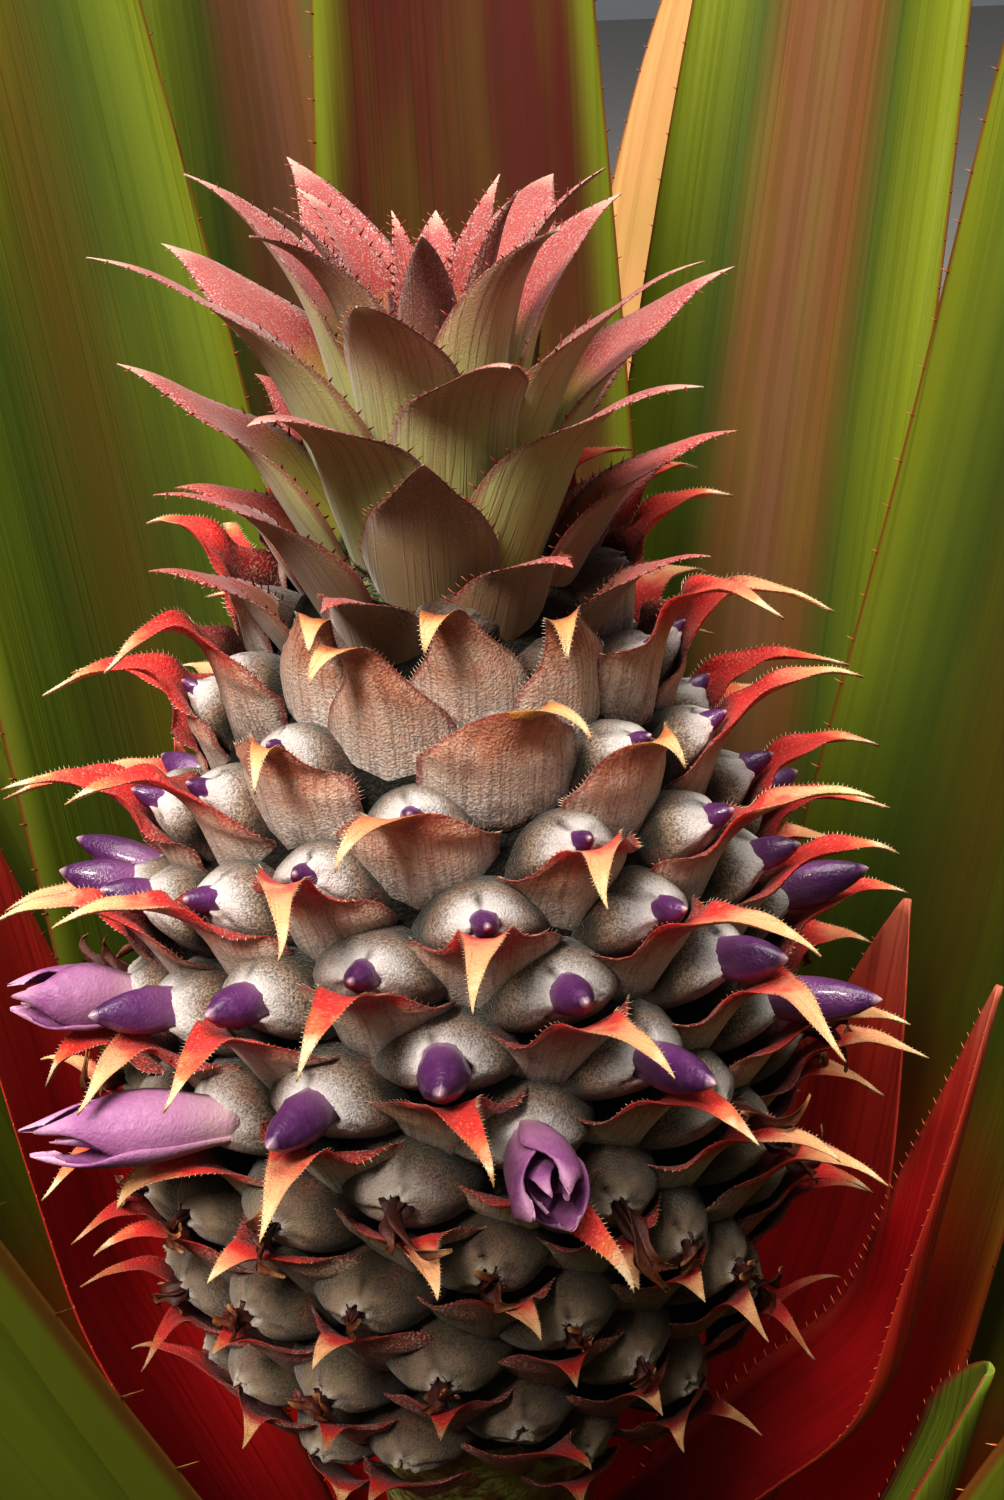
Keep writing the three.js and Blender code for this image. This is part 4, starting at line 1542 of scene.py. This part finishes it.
@dataclass
class HeartLeaves:
    """Short leaves on the stalk that stand up beside the fruit, most of them red."""

    stalk: Stalk
    fruit: Fruit
    count: int = 10
    foot: float = 164.0
    rise: float = 12.5
    turn: float = 62.0
    reach: float = 52.0
    stands: float = 8.0
    shows_least: float = 25.0
    shows_most: float = 85.0
    shows_front: float = 12.0
    front_spread: float = 60.0
    half_first: float = 14.0
    half_last: float = 10.0
    cup: float = 3.0
    green: tuple[int, ...] = (1, 6, 8)

    def blades(self) -> Blades:
        """Each runs straight out past the fruit's foot to a knee, then turns up.

        Returns:
            The leaves.
        """
        j = each(range(self.count))
        azimuth = wrap(self.turn + GOLDEN * j)
        z = self.foot + self.rise * j
        run = self.reach - 0.8 * j - self.stalk.waist
        climb = self.fruit.middle + self.fruit.foot - 2 - z
        knee = np.hypot(run, climb)
        first = np.degrees(np.arctan2(run, climb))
        shows = mix(self.shows_least, self.shows_most, chance(j, Draw.HEART_LENGTH))
        length = knee + mix(shows, self.shows_front, bell(azimuth, 0, self.front_spread))
        wide = mix(self.half_first, self.half_last, j / (self.count - 1))

        def half(t: Array) -> Array:
            """Half the width, drawn out to the tip."""
            past = np.clip((t * length - knee) / (length - knee), 0, 1)
            return wide * mix(0.75, 1, smooth(t / 0.3)) * (1 - past**1.3) ** 0.9 + 0.1

        def relief(t: Array, u: Array) -> Array:
            """A gutter: minus cup times u squared."""
            wave = 0.5 * np.sin(14 * t + 6.3 * chance(j, Draw.HEART_WAVE))
            return (wave * t - self.cup * smooth((t - 0.1) / 0.3)) * u**2 * half(t) / wide

        return Blades(
            number=j + 200,
            azimuth=azimuth,
            reach=Stem.foot_radius(self.stalk.radius(z), half(np.zeros(1))),
            height=z,
            length=length,
            lean=lambda t: mix(first, self.stands, smooth((t * length - knee + 12) / 24)),
            half=half,
            thick=lambda t: mix(1.5, 0.6, smooth(t)),
            relief=relief,
            rows=40,
            halves=11,
        )

    def build(self) -> None:
        """Makes and dresses the heart leaves and their thorns."""
        blades = self.blades()
        sheaf = blades.sheaf(1.2)
        nodes = [f"heart_leaf_{n + 1:02d}" for n in range(self.count)]
        sheaf.values["green"] = np.isin(each(range(1, self.count + 1)), self.green)
        show("heart_leaves", sheaf, HeartSkin(), Slot.HEART_LEAF, *nodes)
        # Young thorns, still red and a little glossier than the rosette's.
        thorn = Plain("heart_leaf_thorn", ((0.0, "#b5231a"), (1.0, "#e0a060")), "#7a1812", 0.3, 0.45)
        show("heart_leaf_thorns", blades.teeth(0.2, 0.95, 2.2, 1.0), thorn, Slot.HEART_LEAF)


@dataclass
class Crown:
    """The crown: leaves that carry the eyes' spiral on, arched outside and upright inside.

    The curves are read at a leaf's number on the spiral. The odd ones are single leaves' own.
    """

    fruit: Fruit
    last: int = 118
    clear: float = 0.35
    core_height: float = 18.0
    core_outline: Curve = field(default=profile((-9, 14.5), (0, 10.5), (8, 7), (18, 3), (24, 1)))
    length: Curve = field(
        default=profile(
            (76, 15), (82, 18), (87, 20.5), (92, 28), (100, 26), (104, 30), (108, 22), (110, 24), (113, 14),
            (118, 7),
        )
    )
    half_width: Curve = field(
        default=profile(
            (76, 5.6), (82, 7), (87, 8), (95, 8.2), (100, 7.6), (104, 6.0), (107, 4.4), (110, 3.8),
            (113, 2.6), (118, 1.6),
        )
    )
    lean_foot: Curve = field(default=profile((76, 26), (87, 22), (100, 12), (110, 7), (118, 3)))
    lean_tip: Curve = field(
        default=profile((76, 90), (87, 78), (95, 76), (100, 60), (106, 54), (112, 26), (118, 14))
    )
    lean_spread: float = 26.0
    side_lean: float = 8.0
    side_length: float = 1.2
    sway: float = 7.0
    gutter: float = 0.24
    odd_lengths: tuple[tuple[int, float], ...] = ((96, 1.12), (99, 1.16), (104, 0.78), (79, 0.95))
    odd_leans: tuple[tuple[int, float], ...] = ((87, -30),)

    def core_radius(self, z: Array) -> Array:
        """The short axis's radius at a height. Under the crown's foot it is the fruit's own top."""
        return self.core_outline(z - self.fruit.middle - self.fruit.top - self.clear)

    def leaves(self) -> Blades:
        """Leaves whose lean grows along them, each less than the next lower one's.

        Returns:
            The leaves.
        """
        k = each(range(self.fruit.last + 1, self.last + 1))
        z = self.fruit.middle + self.fruit.rise * k - 10 - 0.25 * np.maximum(k - 108, 0)
        sides = smooth((np.abs(wrap(self.fruit.azimuth(k))) - 35) / 30) * smooth((104 - k) / 6)
        length = self.length(k) * mix(0.9, 1.06, chance(k, Draw.CROWN_LENGTH))
        length = length * mix(1, self.side_length, sides)
        for number, share in self.odd_lengths:
            length[k == number] *= share
        first = self.lean_foot(k) + self.side_lean * sides
        last = self.lean_tip(k) + self.lean_spread * (chance(k, Draw.CROWN_LEAN) - 0.5)
        for number, more in self.odd_leans:
            last[k == number] += more
        sway = self.sway * (chance(k, Draw.CROWN_SWAY) - 0.5)

        def half(t: Array) -> Array:
            """Widest a third of the way up, then drawn out to a point."""
            drawn = np.maximum(1 - t ** mix(1.2, 1.7, smooth((k - 84) / 8)), 0) ** 1.15
            return self.half_width(k) * mix(0.7, 1.12, smooth(t / 0.34)) * drawn + 0.03

        def relief(t: Array, u: Array) -> Array:
            """A gutter that turns over into a hood near an outer leaf's tip, and a wave in the margins.

            Args:
                t: how far along.
                u: how far across.

            Returns:
                How far the inner face stands out.
            """
            hood = mix(1, -0.9, smooth((t - 0.4) / 0.4) * smooth((104 - k) / 8))
            wave = 0.5 * np.sin(8 * t + 6.3 * chance(k, Draw.CROWN_WAVE) + 2 * u) * np.abs(u) * t * (1 - t)
            return wave - self.gutter * half(t) * np.abs(u) ** 1.8 * hood

        return Blades(
            number=k,
            azimuth=self.fruit.azimuth(k),
            reach=self.core_radius(z) - 0.8,
            height=z,
            length=length,
            lean=lambda t: mix(first, last, smooth((t - 0.3) / 0.7)) + 10 * smooth((t - 0.8) / 0.2),
            half=half,
            thick=lambda t: mix(0.7, 0.14, t),
            relief=relief,
            rows=30,
            halves=11,
            keel=0.25,
            turn=lambda t: sway * t**2,
        )

    def build(self) -> None:
        """Makes and dresses the crown's pieces."""
        blades = self.leaves()
        sheaf = blades.sheaf(1.2)
        sheaf.values["stage"] = (blades.number - self.fruit.last) / (self.last - self.fruit.last)
        show("crown_leaves", sheaf, CrownSkin(), Slot.CROWN, "crown")
        # Soft young thorns: red, with pale tips.
        soft = ((0.0, "#8a2420"), (0.6, "#b0392c"), (1.0, "#e6b98a"))
        thorn = Plain("crown_thorn", soft, "#5c1512", 0.3, 0.45)
        show("crown_thorns", blades.teeth(0.2, 0.95, 1.0, 1.0), thorn, Slot.CROWN)
        foot = self.fruit.middle + self.fruit.top + self.clear
        z = foot + self.core_height * np.linspace(-0.4, 1, 12)
        core = lathe(self.core_radius(z) - 0.5, z, 36)
        skin = Bark("crown_core_skin", "#8d9a6a", "#5a4a38", 1.2)  # pale young tissue between the leaves
        show("crown_core", core, skin, Slot.CROWN)


@dataclass(frozen=True)
class Lamp:
    """A square soft light that faces the fruit.

    Attributes:
        name: the light's name.
        place: where it hangs, in metres.
        size: its side, in metres.
        watts: its strength.
        colour: its colour.
    """

    name: str
    place: tuple[float, float, float]
    size: float
    watts: float
    colour: str

    def hang(self, aim: tuple[float, float, float]) -> None:
        """Puts it in the scene.

        Args:
            aim: the point it faces, in metres.
        """
        data = bpy.data.lights.new(self.name, "AREA")
        data.size = self.size
        data.energy = self.watts
        data.color = linear(self.colour)[:3]
        light = bpy.data.objects.new(self.name, data)
        place = Vector(self.place)
        facing = (Vector(aim) - place).to_track_quat("-Z", "Y").to_matrix().to_4x4()
        light.matrix_world = Matrix.Translation(place) @ facing
        bpy.context.scene.collection.objects.link(light)


@dataclass(frozen=True)
class Studio:
    """A pale floor, soft light and the camera, whose place was fitted to the eyes' lattice."""

    eye: tuple[float, float, float] = (5.06, -153.545, 450.552)
    pitch: float = 26.232
    roll: float = -2.185
    focal_pixels: float = 1791.0
    frame_height: float = 1500.0
    sensor: float = 36.0
    floor_half: float = 6.0
    aim: tuple[float, float, float] = (0, 0, 0.36)
    lamps: tuple[Lamp, ...] = (
        Lamp("key", (-0.64, -1.08, 2.0), 0.55, 64, "#fff6ea"),
        Lamp("fill", (1.3, -1.2, 1.5), 1.4, 6, "#eef0ff"),
        Lamp("top", (0.1, 0.1, 2.3), 1.2, 34, "#fffaf2"),
    )
    sky: str = "#e6ebf0"
    sky_strength: float = 0.17

    def camera(self) -> None:
        """Places the camera: it looks down by the pitch and is rolled about its own axis."""
        data = bpy.data.cameras.new("camera")
        data.sensor_width = self.sensor
        data.lens = self.focal_pixels * self.sensor / self.frame_height
        data.clip_start = 0.005
        data.clip_end = 50
        pitch, roll = math.radians(self.pitch), math.radians(self.roll)
        ahead = Vector((0, math.cos(pitch), -math.sin(pitch)))
        up = Vector((0, math.sin(pitch), math.cos(pitch)))
        right = Vector((1, 0, 0))
        across = math.cos(roll) * right + math.sin(roll) * up
        upward = -math.sin(roll) * right + math.cos(roll) * up
        camera = bpy.data.objects.new("camera", data)
        turned = Matrix((across, upward, -ahead)).transposed().to_4x4()
        camera.matrix_world = Matrix.Translation(Vector(self.eye) * MM) @ turned
        bpy.context.scene.collection.objects.link(camera)
        bpy.context.scene.camera = camera

    def floor(self) -> None:
        """Lays a pale floor at ground level."""
        mesh = bpy.data.meshes.new("floor")
        square = [(-1, -1), (1, -1), (1, 1), (-1, 1)]
        mesh.from_pydata([(x * self.floor_half, y * self.floor_half, 0) for x, y in square], [], [range(4)])
        floor = bpy.data.objects.new("floor", mesh)
        paper = Bark("floor_paper", "#b4b1ac", "#b0ada8", 40.0, 0.9)  # plain and matt, with no highlight
        floor.data.materials.append(paper.material())
        bpy.context.scene.collection.objects.link(floor)
        floor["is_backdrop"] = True

    def build(self) -> None:
        """Sets the floor, the camera, the lights and the sky."""
        self.floor()
        self.camera()
        for lamp in self.lamps:
            lamp.hang(self.aim)
        scene = bpy.context.scene
        scene.world = bpy.data.worlds.new("studio")
        scene.world.use_nodes = True
        sky = scene.world.node_tree.nodes["Background"]
        sky.inputs["Color"].default_value = linear(self.sky)
        sky.inputs["Strength"].default_value = self.sky_strength
        scene.view_settings.view_transform = "Standard"
        scene.view_settings.look = "Medium High Contrast"


def write_sizes(after: object) -> None:
    """Makes a helper that would turn a box into plain lists, and does not use it: nothing is written.

    Args:
        after: the dressed model's box; not used.
    """

    def plain(box: object) -> list[list[float]]:
        """Two corners as lists of numbers."""
        return [[float(x) for x in corner] for corner in box]


def main() -> None:
    """Builds the plant from the ground up, then the studio."""
    logging.basicConfig(level=logging.INFO, format="%(name)s %(message)s")
    fruit = Fruit()
    stem = Stem()
    stalk = Stalk(stem, fruit)
    stem.build()
    stalk.build()
    Rosette(stem).build()
    HeartLeaves(stalk, fruit).build()
    fruit.build()
    Crown(fruit).build()
    Studio().build()
    write_sizes(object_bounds())


if __name__ == "__main__":
    main()
